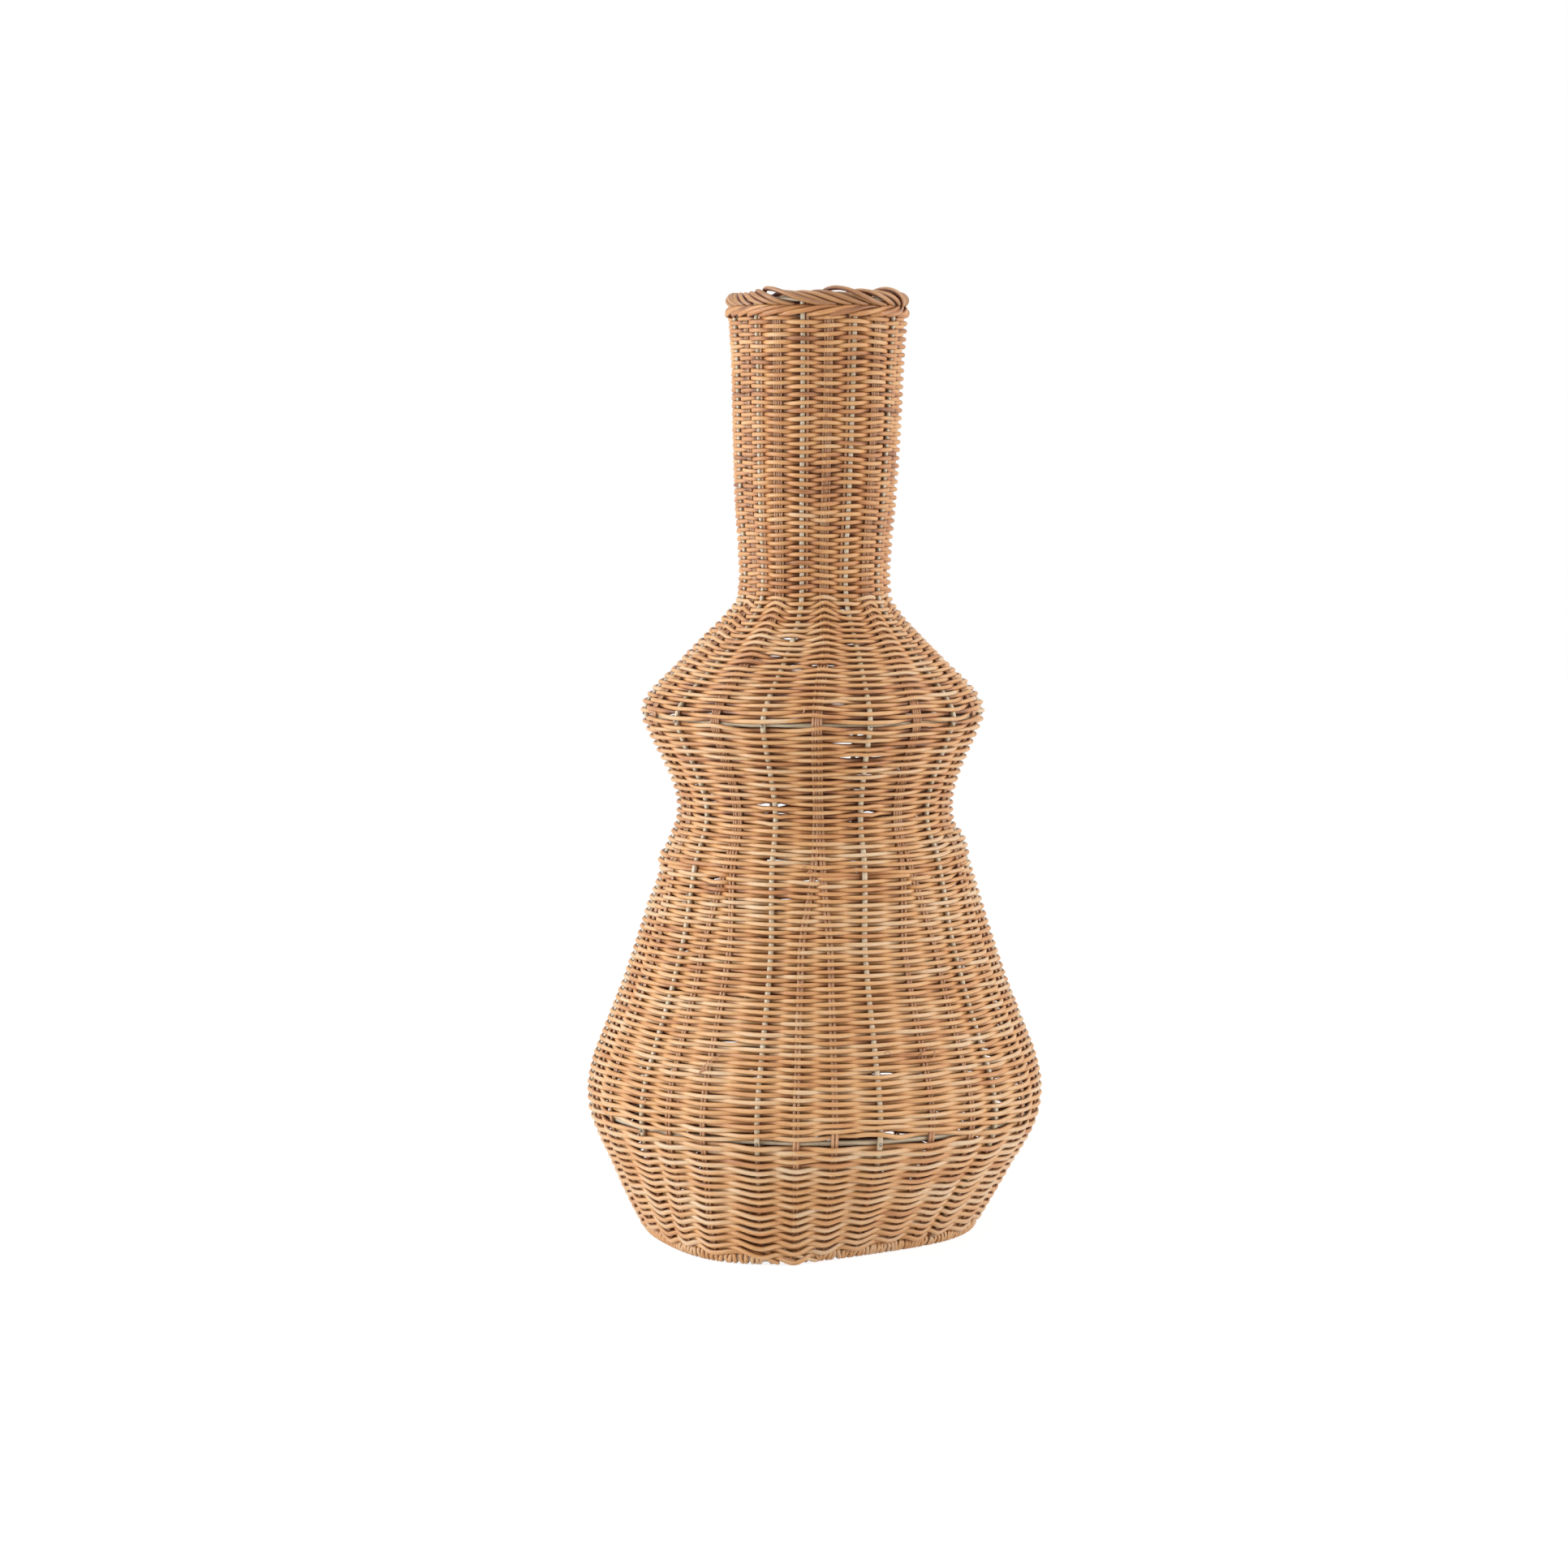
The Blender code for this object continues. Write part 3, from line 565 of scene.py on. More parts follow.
def row_shift(run, angle, front):
    """How far a row rises along the wall at each angle, from every cause."""
    shift = np.zeros(np.shape(angle))
    for times_round, times_up, size, phase in DRIFT_WAVES:
        shift += size * np.sin(times_round * angle + times_up * run + phase)
    for gap_angle, gap_run, size, slide, width in GAPS:
        away = run - gap_run
        if abs(away) <= 3.0 * GAP_REACH:
            parting = size * np.tanh(away / GAP_EDGE) + slide
            shift += parting * bell(away, GAP_REACH) * bell(wrapped(angle - gap_angle), width)
    for hoop in HOOPS.values():
        away = run - WALL.at_height(hoop.height)
        if abs(away) <= HOOP_REACH:
            gap = hoop.above if away > 0.0 else hoop.below
            fade = np.exp(-max(abs(away) - gap, 0.0) / HOOP_FADE)
            closing = (CLOSING_BEHIND + CLOSING_IN_FRONT * front) * gap * fade
            shift -= np.sign(away) * (1.0 - hoop_opening(angle, hoop, away > 0.0)) * closing
    return shift


def foot_sag(run, angle):
    """How far the lowest rows hang down over the base ring at the front."""
    away = run - WALL.at_height(FOOT_HEIGHT)
    return FOOT_SAG * bell(wrapped(angle) - FOOT_SAG_ANGLE, FOOT_SAG_SPREAD) * np.exp(-away / FOOT_SAG_FADE)


def scallop(part, height):
    """The sag of each pass over a stake in the bowl: lowest at the stake, highest between."""
    depth = sum(size * (1.0 - between(height, low, high)) for size, low, high in SCALLOPS)
    return -depth * np.cos(TURN * part)


def shoulder_peaks(angle, height):
    """Rows on the shoulder climb over the thin groups and dip at the uprights."""
    strength = between(height, *PEAK_START) * (1.0 - between(height, *PEAK_END))
    size = PEAK_SIZE + PEAK_GROWTH * between(height, *PEAK_GROWING)
    aside = (angle - group_angle(0, height) + pi / GROUPS) % (TURN / GROUPS) - pi / GROUPS
    return size * strength * (bell(aside, PEAK_WIDTH) - PEAK_DIP)


def stake_marks(sizes, height, radius):
    """The stakes that a row meets: angle, half width, and how far out it runs before and behind."""
    out = (sizes.upright + sizes.weaver) / 2.0
    touching = (sizes.strand + sizes.weaver) / 2.0
    marks = []
    for group in range(GROUPS):
        if height < PAIRS_PART_HEIGHT:
            angles = [pair_angle(group, side, height, radius) for side in (-1, 1)]
            half = sizes.strand * PAIR_HALF
        else:
            angles = [group_angle(group, height)]
            half = sizes.strand * GROUP_HALF * thinning(height)
        for angle in angles:
            marks.append((angle, half, touching + PAIR_CLEAR_BEFORE, -touching - PAIR_CLEAR_BEHIND))
        marks.append((upright_angle(group, height), sizes.upright * UPRIGHT_HALF, out, -out))
    return np.array(marks).T


def to_next(values, share):
    """Values at the stakes, each carried on to the next one by this share of the way."""
    return (values[:, None] + (np.roll(values, -1) - values)[:, None] * share).ravel()


def steps_round(angles, part):
    """Angles between each stake and the next, and the gaps from stake to stake."""
    gap = np.append(angles[1:], angles[0] + TURN) - angles
    return (angles[:, None] + gap[:, None] * part).ravel(), gap


def lay_row(sizes, run, parity, panel, dice):
    """One closed row of plain weave, over one stake and behind the next."""
    height, radius = float(WALL.height(run)), float(WALL.radius(run))
    stakes, half, before, behind = stake_marks(sizes, height, radius)
    part = np.arange(panel.samples) / panel.samples
    angle, gap = steps_round(stakes, part)
    over = (np.arange(len(stakes)) + parity) % 2 == 0
    offset = np.where(over, before, behind) * panel.reach
    flat = np.clip(half / (gap * radius), 0.0, FLAT_LIMIT)
    rise = (part - flat[:, None]) / (1.0 - flat - np.roll(flat, -1))[:, None]
    rise = np.clip(rise, 0.0, 1.0)
    rise = panel.straight * rise + (1.0 - panel.straight) * (1.0 - np.cos(pi * rise)) / 2.0
    depth = to_next(offset, rise)
    front = np.clip(0.5 + depth / (sizes.upright + sizes.weaver), 0.0, 1.0)
    along = run + row_shift(run, angle, front) + shoulder_peaks(angle, height)
    along = along + to_next(dice.normal(0.0, UNEVEN, len(stakes)), rise)
    for times, size in WOBBLES:
        along = along + size * np.sin(times * angle + dice.uniform(0, TURN))
    sag = foot_sag(run, angle)
    depth = depth + FOOT_SAG_OUTWARD * sag
    along = along + scallop(np.tile(part, len(stakes)), height) - sag
    out, up = WALL.outward(run)
    along = along - LEVEL_SHARE * depth * up / out
    # Painted shade: the tone falls towards the behind-shade colour where the row passes behind a stake
    behind_shade_share = panel.hidden * np.clip(1.0 - BEHIND_SHADE_EDGE * front, 0.0, 1.0)
    tone = dice.uniform(0.0, 1.0) + panel.shade - behind_shade_share
    thickness = panel.fullness + THICKNESS_DRIFT * np.sin(2 * angle + dice.uniform(0, TURN))
    thickness = thickness + dice.uniform(-THICKNESS_DRIFT, THICKNESS_DRIFT)
    half = sizes.weaver / 2.0
    half_height = half * (WEAVER_BEHIND + (WEAVER_BEFORE - WEAVER_BEHIND) * front) * thickness
    place, facing = WALL.place(along, angle, depth), WALL.facing(along, angle)
    return Strand(place, facing, half_height, half * WEAVER_FLAT, True, tone)


# Materials

WHITE = (1.0, 1.0, 1.0, 1.0)
# Painted shade: the sides of the strands that turn away from the outside are darkened towards this brown,
# standing in for the shade between and behind them
GAP_SHADE_TINT = (0.52, 0.30, 0.14)
RUST = (0.33, 0.24, 0.17)


class Wire:
    """A socket that adds its own Math nodes when it is used in an expression."""

    def __init__(self, tree, socket):
        self.tree = tree
        self.socket = socket

    def math(self, operation, *others):
        """The result of one Math node."""
        node = self.tree.nodes.new("ShaderNodeMath")
        node.operation = operation
        for place, value in enumerate((self, *others)):
            connect(self.tree, value, node.inputs[place])
        return Wire(self.tree, node.outputs[0])

    def limited(self, low, high):
        """The same value, held between two limits."""
        return self.math("MAXIMUM", low).math("MINIMUM", high)

    def __add__(self, other):
        return self.math("ADD", other)

    __radd__ = __add__

    def __mul__(self, other):
        return self.math("MULTIPLY", other)

    __rmul__ = __mul__

    def __sub__(self, other):
        return self.math("SUBTRACT", other)

    def __rsub__(self, other):
        return (self * -1.0) + other


def connect(tree, value, socket):
    """Links a wire to a socket, or sets the socket to a plain value."""
    if isinstance(value, Wire):
        tree.links.new(value.socket, socket)
    else:
        socket.default_value = value


class Nodes:
    """The node tree of a material or a room, with one way to add a node."""

    def __init__(self, owner):
        owner.use_nodes = True
        self.tree = owner.node_tree

    def add(self, kind, settings=None, inputs=None, output=0):
        """Adds a node, sets it up, feeds its sockets and returns one of its outputs."""
        node = self.tree.nodes.new(kind)
        for setting, value in (settings or {}).items():
            if setting == "stops":
                stops = node.color_ramp.elements
                while len(stops) < len(value):
                    stops.new(1.0)
                for stop, (position, colour) in zip(stops, value):
                    stop.position = position
                    stop.color = linear(colour)
            else:
                setattr(node, setting, value)
        for socket, value in (inputs or {}).items():
            connect(self.tree, value, node.inputs[socket])
        return Wire(self.tree, node.outputs[output])

    def noise(self, vector, steps, detail=2.0, roughness=0.5):
        """Noise with this many steps a metre in each direction."""
        vector = self.add("ShaderNodeVectorMath", {"operation": "MULTIPLY"}, {0: vector, 1: steps})
        return self.add("ShaderNodeTexNoise", {"noise_dimensions": "3D"}, {
            "Vector": vector, "Scale": 1.0, "Detail": detail, "Roughness": roughness,
        })

    def mix(self, share, first, second, blend="MIX"):
        """Two colours laid over each other by this share."""
        settings = {"data_type": "RGBA", "blend_type": blend}
        return self.add("ShaderNodeMix", settings, {0: share, 6: first, 7: second}, 2)

    def seen(self):
        """1 where the background is looked at, directly, in a gloss or through glass."""
        rays = self.tree.nodes.new("ShaderNodeLightPath")
        camera, glossy, clear = (
            Wire(self.tree, rays.outputs[f"Is {kind} Ray"]) for kind in ("Camera", "Glossy", "Transmission")
        )
        return camera.math("MAXIMUM", glossy).math("MAXIMUM", clear)

    def mixed_output(self, output, share, first, second):
        """Mixes two shaders into the tree's output."""
        mixed = self.add("ShaderNodeMixShader", {}, {0: share, 1: first, 2: second})
        connect(self.tree, mixed, self.tree.nodes[output].inputs["Surface"])


class Finish(Nodes):
    """One procedural material, with its shader."""

    def __init__(self, name):
        self.material = bpy.data.materials.new(name)
        super().__init__(self.material)
        self.shader = self.tree.nodes["Principled BSDF"]

    def feed(self, **inputs):
        """Links or sets sockets of the shader; a name's spaces are written as underscores."""
        for socket, value in inputs.items():
            connect(self.tree, value, self.shader.inputs[socket.replace("_", " ")])

    def bump(self, strength, distance, height):
        """Small relief for the shader's Normal."""
        values = {"Strength": strength, "Distance": distance, "Height": height}
        return self.add("ShaderNodeBump", {}, values)


def linear(colour):
    """Scene-linear value of a colour as written for a screen."""
    return tuple(
        part / 12.92 if part <= 0.04045 else ((part + 0.055) / 1.055) ** 2.4 for part in colour
    ) + (1.0,)


def cane_finish(name, shades, fleck, roughness, inner):
    """Rattan: patches of colour along and across the strands, streaks, fine hairs, dark flecks and painted
    shade.
    """
    finish = Finish(name)
    fibre = finish.add("ShaderNodeAttribute", {"attribute_name": "fibre"}, output="Vector")
    tone = finish.add("ShaderNodeAttribute", {"attribute_name": "tone"}, output="Fac")
    place = finish.add("ShaderNodeTexCoord", output="Object")
    patches = finish.noise(fibre, (11.0, 0.3, 0.3))
    streaks = finish.noise(fibre, (45.0, 3.0, 3.0), 3.0, 0.6)
    blotches = finish.noise(place, (30.0, 30.0, 60.0), 3.0, 0.6)
    hairs = finish.noise(fibre, (150.0, 12.0, 12.0), 2.0, 0.6)
    flecks = finish.noise(fibre, (420.0, 3.0, 3.0), 1.0)
    pale, middle, deep, hidden = shades
    stops = [(0.0, hidden), (0.16, deep), (0.47, middle), (0.82, pale)]
    shade = tone * 0.28 + patches * 0.95 + blotches * 0.85 + streaks * 0.55 - 0.85
    colour = finish.add("ShaderNodeValToRGB", {"stops": stops}, {"Fac": shade})
    colour = finish.mix(((flecks - 0.69) * 6.0).limited(0.0, 0.70), colour, linear(fleck))
    pores = (0.60 - hairs).math("MAXIMUM", 0.0) * 0.9
    colour = finish.mix(pores, colour, linear(fleck), "MULTIPLY")
    # Painted shade: sides of each strand that turn away from the outside are darkened, standing in for
    # shade between the strands
    outward = finish.add("ShaderNodeSeparateXYZ", {}, {0: fibre}, "Y")
    inward = ((0.70 - outward) * inner).limited(0.0, 0.95)
    colour = finish.mix(inward, colour, linear(GAP_SHADE_TINT), "MULTIPLY")
    bump = finish.bump(0.35, 0.0004, hairs * 0.6 + streaks * 0.4)
    finish.feed(Base_Color=colour, Roughness=streaks * 0.30 + (roughness - 0.15), Normal=bump)
    finish.feed(IOR=1.50, Specular_IOR_Level=0.75)
    return finish.material


def steel_finish(name, colour):
    """Nail heads: dull steel with dark and rusty spots."""
    finish = Finish(name)
    place = finish.add("ShaderNodeTexCoord", output="Object")
    spots = finish.noise(place, (900.0, 900.0, 900.0), 3.0, 0.7)
    colour = finish.add("ShaderNodeValToRGB", {"stops": [(0.35, RUST), (0.55, colour)]}, {"Fac": spots})
    bump = finish.bump(0.3, 0.0002, spots)
    finish.feed(Base_Color=colour, Roughness=0.75 - spots * 0.5, Normal=bump, Metallic=0.8)
    return finish.material


# Kinds of strand: the part's slot, the panel's shades, roughness, and how strongly shade is painted on the
# sides that turn away from the outside
Kind = namedtuple("Kind", "slot shades roughness inner")
KINDS = {
    "weaver_core": Kind("weaver_core", "core", 0.45, 0.80),
    "border_core": Kind("weaver_core", "border", 0.45, 1.25),
    "binding_core": Kind("weaver_core", "core", 0.45, 0.30),
    "stake_core": Kind("stake_core", "strand", 0.48, 0.35),
    "frame_cane": Kind("frame_cane", "cane", 0.38, 0.25),
    "nail_steel": Kind("frame_cane", None, None, None),
}
FINISHES = {}


def finish_of(name):
    """The material of one kind of strand, made once from the panel's colours."""
    if name not in FINISHES:
        colours, kind = bpy.context.scene.rattan_colours, KINDS[name]
        if name == "nail_steel":
            FINISHES[name] = steel_finish(name, colours.nail)
        else:
            shades = [getattr(colours, f"{kind.shades}_{shade}") for shade in ("pale", "middle", "deep")]
            shades.append(colours.hidden)
            FINISHES[name] = cane_finish(
                f"rattan_{name}", shades, colours.fleck, kind.roughness, kind.inner)
    return FINISHES[name]


def add_piece(name, strands, finish, *nodes, sides=SIDES):
    """Puts strands in the scene as one mesh, riding on the vase in place of these solids."""
    piece = bpy.data.objects.new(name, strand_mesh(name, strands, sides))
    bpy.context.scene.collection.objects.link(piece)
    piece.data.materials.append(finish_of(finish))
    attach(piece, "root")
    if nodes:
        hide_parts(*nodes)


# Settings


def length(label, description, default, low, high):
    """A size that the panel shows in the scene's own units."""
    return FloatProperty(
        name=label, description=description, default=default, min=low, max=high, unit="LENGTH")


def shade(label, description, *default):
    """A colour as it is written for a screen."""
    return FloatVectorProperty(
        name=label, description=description, default=default, min=0.0, max=1.0, subtype="COLOR_GAMMA")


def power(label, description, default):
    """The power of a light."""
    return FloatProperty(
        name=label, description=description, default=default, min=0.0, max=500.0, subtype="POWER")


class RattanSizes(bpy.types.PropertyGroup):
    """Sizes of the strands."""

    weaver: length("Weaver", "Thickness of the round core that is woven", 0.0028, 0.001, 0.008)
    upright: length("Upright", "Thickness of the ten stout canes", 0.0035, 0.001, 0.01)
    strand: length(
        "Thin stake", "Thickness of the thin strands between the canes", 0.0021, 0.0005, 0.006)
    hoop: length("Hoop", "Thickness of the two hoops inside the canes", 0.0034, 0.001, 0.01)
    border: length(
        "Border", "Thickness of the strands rolled into the border", 0.0034, 0.001, 0.008)
    wraps: IntProperty(
        name="Wraps", description="Turns of the strand wound round the base hoop",
        default=225, min=40, max=400)


class RattanColours(bpy.types.PropertyGroup):
    """Colours of the cane."""

    core_pale: shade("Pale core", "Lightest colour of the weavers", 0.90, 0.765, 0.60)
    core_middle: shade("Middle core", "Usual colour of the weavers", 0.87, 0.645, 0.40)
    core_deep: shade("Deep core", "Darkest colour of the weavers", 0.765, 0.505, 0.28)
    border_pale: shade("Pale border", "Lightest colour of the border", 0.82, 0.62, 0.41)
    border_middle: shade("Middle border", "Usual colour of the border", 0.725, 0.51, 0.305)
    border_deep: shade("Deep border", "Darkest colour of the border", 0.58, 0.38, 0.205)
    strand_pale: shade("Pale strand", "Lightest colour of the thin stakes", 0.92, 0.73, 0.54)
    strand_middle: shade("Middle strand", "Usual colour of the thin stakes", 0.86, 0.64, 0.45)
    strand_deep: shade("Deep strand", "Darkest colour of the thin stakes", 0.74, 0.52, 0.36)
    cane_pale: shade("Pale cane", "Lightest colour of uprights and hoops", 0.94, 0.88, 0.77)
    cane_middle: shade("Middle cane", "Usual colour of uprights and hoops", 0.88, 0.79, 0.645)
    cane_deep: shade("Deep cane", "Darkest colour of uprights and hoops", 0.76, 0.66, 0.505)
    # Painted shade: the colour a weaver falls to where it passes behind a stake
    hidden: shade("Hidden", "Strands where they pass behind a stake", 0.55, 0.33, 0.16)
    fleck: shade("Fleck", "Pores, flecks and the dark between fibres", 0.42, 0.26, 0.14)
    nail: shade("Nail", "Heads of the nails at the hoops", 0.62, 0.58, 0.52)
    floor: shade("Floor", "The pale studio floor", 0.97, 0.97, 0.97)


class RattanStudio(bpy.types.PropertyGroup):
    """Camera and light."""

    distance: length("Camera distance", "From the lens to the vase's axis", VIEW_DISTANCE, 0.5, 10.0)
    camera_height: length("Camera height", "Of the lens above the floor", VIEW_HEIGHT, 0.0, 3.0)
    aside: length("Camera to the side", "Of the lens, to the right of the axis", -0.0198, -1.0, 1.0)
    tilt: FloatProperty(
        name="Tilt", description="How far the camera looks down",
        default=radians(5.925), min=0.0, max=1.0, subtype="ANGLE")
    lens: FloatProperty(
        name="Lens", description="Focal length on a 36 mm wide frame", default=85.72, min=20.0, max=200.0)
    key: power("Left light", "Power of the large light on the left", 65.0)
    fill: power("Right light", "Power of the large light on the right", 42.0)
    top: power("Top light", "Power of the light overhead", 25.0)
    world: FloatProperty(
        name="Room light", description="Strength of the even light from all round",
        default=0.38, min=0.0, max=2.0)


# Operators


class RATTAN_OT_weave(bpy.types.Operator):
    """Weaves one panel of the wall, row over row"""

    bl_idname = "rattan.weave"
    bl_label = "Weave Panel"

    panel: EnumProperty(
        name="Panel", description="Which part of the wall to weave",
        items=[(name, name.replace("_", " ").title(), "") for name in PANELS])

    def execute(self, context):
        sizes, panel = context.scene.rattan_sizes, PANELS[self.panel]
        earlier = list(PANELS)[:list(PANELS).index(self.panel)]
        laid = sum(PANELS[name].rows for name in earlier)
        dice = np.random.RandomState(SEEDS["weave"] + len(earlier))
        rows = [
            lay_row(sizes, run, laid + row, panel, dice) for row, run in enumerate(panel_runs(panel))
        ]
        add_piece(f"woven_{self.panel}", rows, "weaver_core", panel.node)
        return {"FINISHED"}


# Nodes of the uprights: where the first may come, how far apart they lie, how long and how stout
FIRST_KNOT = (0.03, 0.16)
KNOT_STEP = (0.15, 0.19)
KNOT_LENGTH = 0.0022
KNOT_SWELL = 0.14
UPRIGHT_TAPER = 0.12
UPRIGHT_OFFSET = 0.0002
# How much darker the uprights are at the foot, and the heights where that fades
FOOT_DARKENING = 1.6
DARKENING_FADE = (0.060, 0.085)


def stake_path(low, count):
    """Steps along the wall from this height to the stakes' top, with their heights and radii."""
    run = np.linspace(WALL.at_height(low), WALL.at_height(STAKE_TOP_HEIGHT), count)
    return run, WALL.height(run), WALL.radius(run)


class RATTAN_OT_uprights(bpy.types.Operator):
    """Sets the ten stout canes that carry the wall, each with its nodes"""

    bl_idname = "rattan.uprights"
    bl_label = "Set Uprights"

    def execute(self, context):
        run, height, _ = stake_path(FOOT_HEIGHT, 260)
        slimmer = 1.0 - UPRIGHT_TAPER * between(height, WAIST_HEIGHT, NECK_HEIGHT)
        dice = np.random.RandomState(SEEDS["uprights"])
        for group in range(GROUPS):
            knots = np.arange(dice.uniform(*FIRST_KNOT), run[-1], dice.uniform(*KNOT_STEP))
            swell = 1.0 + KNOT_SWELL * bell(run[:, None] - knots, KNOT_LENGTH).sum(axis=1)
            radius = context.scene.rattan_sizes.upright / 2.0 * slimmer * swell
            tone = dice.uniform(0.3, 1.0) - FOOT_DARKENING * (1.0 - between(height, *DARKENING_FADE))
            strand = wall_strand(run, upright_angle(group, height), UPRIGHT_OFFSET, radius, tone)
            name = f"upright_{group + 1:02d}"
            add_piece(f"cane_{name}", [strand], "frame_cane", name, sides=12)
        return {"FINISHED"}


# Thin strands: how far inside the middle line they lie, sideways and inward waves with how many
# times a metre, and how far apart two of a pair lie against their thickness
STRAND_INSET = -0.0003
STRAND_WAVE = 0.00015
STRAND_WAVES = (60, 120)
STRAND_DEPTH_WAVE = 0.0002
STRAND_DEPTH_WAVES = 90
STRAND_SPACING = 1.02
# Strands beside the uprights on the neck: where they start, on which side, and how close
COMPANION_HEIGHT = 0.4120
COMPANION_SIDES = (-1, 1, -1, 1, 1, -1, 1, -1, 1, 1)
COMPANION_SPACING = 1.05


class RATTAN_OT_stake_pairs(bpy.types.Operator):
    """Sets the thin strands between the uprights, two by two, and one beside each upright's neck"""

    bl_idname = "rattan.stake_pairs"
    bl_label = "Set Stake Pairs"

    def execute(self, context):
        sizes = context.scene.rattan_sizes
        thin = sizes.strand / 2.0
        run, height, radius = stake_path(FOOT_HEIGHT, 170)
        half = thin * thinning(height)
        dice = np.random.RandomState(SEEDS["pairs"])
        for group in range(GROUPS):
            for side, letter in ((-1, "a"), (1, "b")):
                strands = []
                for way in (-1, 1):
                    wave = STRAND_WAVE * np.sin(run * dice.uniform(*STRAND_WAVES) + dice.uniform(0, TURN))
                    angle = pair_angle(group, side, height, radius)
                    angle = angle + (way * half * STRAND_SPACING + wave) / radius
                    wave = STRAND_DEPTH_WAVE * np.sin(run * STRAND_DEPTH_WAVES + dice.uniform(0, TURN))
                    tone = dice.uniform(0.0, 1.0)
                    strands.append(wall_strand(run, angle, STRAND_INSET + wave, half, tone))
                name = f"stake_pair_{group + 1:02d}{letter}"
                add_piece(f"thin_{name}", strands, "stake_core", name)
        run, height, radius = stake_path(COMPANION_HEIGHT, 70)
        beside = (sizes.upright / 2.0 + thin * COMPANION_SPACING) / radius
        strands = []
        for group, side in enumerate(COMPANION_SIDES):
            angle = upright_angle(group, height) + side * beside
            strands.append(wall_strand(run, angle, STRAND_INSET, thin, dice.uniform(0.3, 1.0)))
        add_piece("thin_neck_companions", strands, "stake_core")
        return {"FINISHED"}


# Hoops: clearance to the uprights, length of the scarf joint, how thin its tips are, and how far
# each end is set over
HOOP_CLEARANCE = 0.0002
SCARF_LENGTH = 0.0400
SCARF_TIP = 0.25
SCARF_SHIFT = 0.55


class RATTAN_OT_hoops(bpy.types.Operator):
    """Bends the two hoops inside the uprights, each with its long scarf joint"""

    bl_idname = "rattan.hoops"
    bl_label = "Bend Hoops"

    def execute(self, context):
        sizes = context.scene.rattan_sizes
        radius = sizes.hoop / 2.0
        inward = -(sizes.upright + sizes.hoop) / 2.0 - HOOP_CLEARANCE
        for name, hoop in HOOPS.items():
            run = WALL.at_height(hoop.height)
            overlap = SCARF_LENGTH / float(WALL.radius(run))
            angle = hoop.scarf + np.linspace(-overlap / 2.0, TURN + overlap / 2.0, 240)
            ends = np.minimum(angle - angle[0], angle[-1] - angle) / overlap
            thin = SCARF_TIP + (1.0 - SCARF_TIP) * smooth(ends)
            lay = np.where(angle < hoop.scarf + pi, -1.0, 1.0) * radius * (1.0 - thin) * SCARF_SHIFT
            points = WALL.place(run + lay, angle, inward)
            strand = Strand(points, WALL.facing(run, angle), radius * thin, radius, False, 0.6)
            add_piece(f"cane_{name}", [strand], "frame_cane", name, sides=12)
        return {"FINISHED"}


# Head of a nail: how far its rings stand out of the upright, and their radii
NAIL_RISES = np.array((-0.0006, 0.0001, 0.0005, 0.0007))
NAIL_RADII = np.array((0.0011, 0.0013, 0.0010, 0.0004))


class RATTAN_OT_nails(bpy.types.Operator):
    """Drives a nail through each upright into the hoop behind it"""

    bl_idname = "rattan.nails"
    bl_label = "Drive Nails"

    def execute(self, context):
        out = context.scene.rattan_sizes.upright / 2.0
        heads = []
        for hoop in HOOPS.values():
            for group in range(GROUPS):
                angle = np.full(len(NAIL_RISES), upright_angle(group, hoop.height))
                points = WALL.place(WALL.at_height(hoop.height), angle, out + NAIL_RISES)
                across = np.stack((np.cos(angle), np.sin(angle), 0.0 * angle), axis=-1)
                heads.append(Strand(points, across, NAIL_RADII, NAIL_RADII, False, 0.5))
        add_piece("hoop_nails", heads, "nail_steel", sides=10)
        return {"FINISHED"}


# Broken fibres: angle and height of the root, how far they run sideways and up, bend and radius
LOOSE_FIBRES = (
    (-31.5, 0.1185, 0.0160, 0.0150, 0.0022, 0.00040), (-31.0, 0.1195, 0.0110, 0.0130, -0.0018, 0.00035),
    (27.5, 0.1290, 0.0110, 0.0050, 0.0028, 0.00035), (33.0, 0.1320, -0.0080, -0.0040, -0.0022, 0.00030),
    (18.0, 0.1330, 0.0045, -0.0030, 0.0024, 0.00030), (-47.0, 0.0980, 0.0070, 0.0020, 0.0020, 0.00030),
    (-5.4, 0.2430, 0.0030, 0.0014, 0.0008, 0.00045), (-3.2, 0.2400, 0.0030, 0.0012, 0.0006, 0.00045),
    (-3.5, 0.3395, 0.0030, 0.0030, 0.0004, 0.00045), (24.0, 0.5660, 0.0040, 0.0020, 0.0008, 0.00030),
)
FIBRE_OFFSET = 0.0032
FIBRE_ARCH = 0.0022
FIBRE_TAPER = 0.5


class RATTAN_OT_fibres(bpy.types.Operator):
    """Lifts a few broken fibres off the belly, the waist and the neck"""

    bl_idname = "rattan.fibres"
    bl_label = "Lift Fibres"

    def execute(self, context):
        dice = np.random.RandomState(SEEDS["fibres"])
        t = np.linspace(0.0, 1.0, 14)
        strands = []
        for angle, height, reach, climb, bend, radius in LOOSE_FIBRES:
            run = WALL.at_height(height) + climb * t + bend * np.sin(pi * t)
            turned = radians(angle) + reach * t / WALL.radius(run)
            off = FIBRE_OFFSET + FIBRE_ARCH * np.sin(pi * t) ** 2
            taper = radius * (1.0 - FIBRE_TAPER * t)
            strands.append(wall_strand(run, turned, off, taper, dice.uniform(-0.6, 0.2)))
        add_piece("loose_fibres", strands, "stake_core", sides=6)
        return {"FINISHED"}


# Strand wound round the base hoop: half its width and thickness, how far out it lies, and how
# uneven its place and its slant are
WRAP_HALF_WIDTH = 0.00135
WRAP_HALF_THICKNESS = 0.00078
WRAP_OFFSET = 0.00080
WRAP_WANDER = 0.00035
WRAP_SLANT = 0.0009
WRAP_STEPS = 14
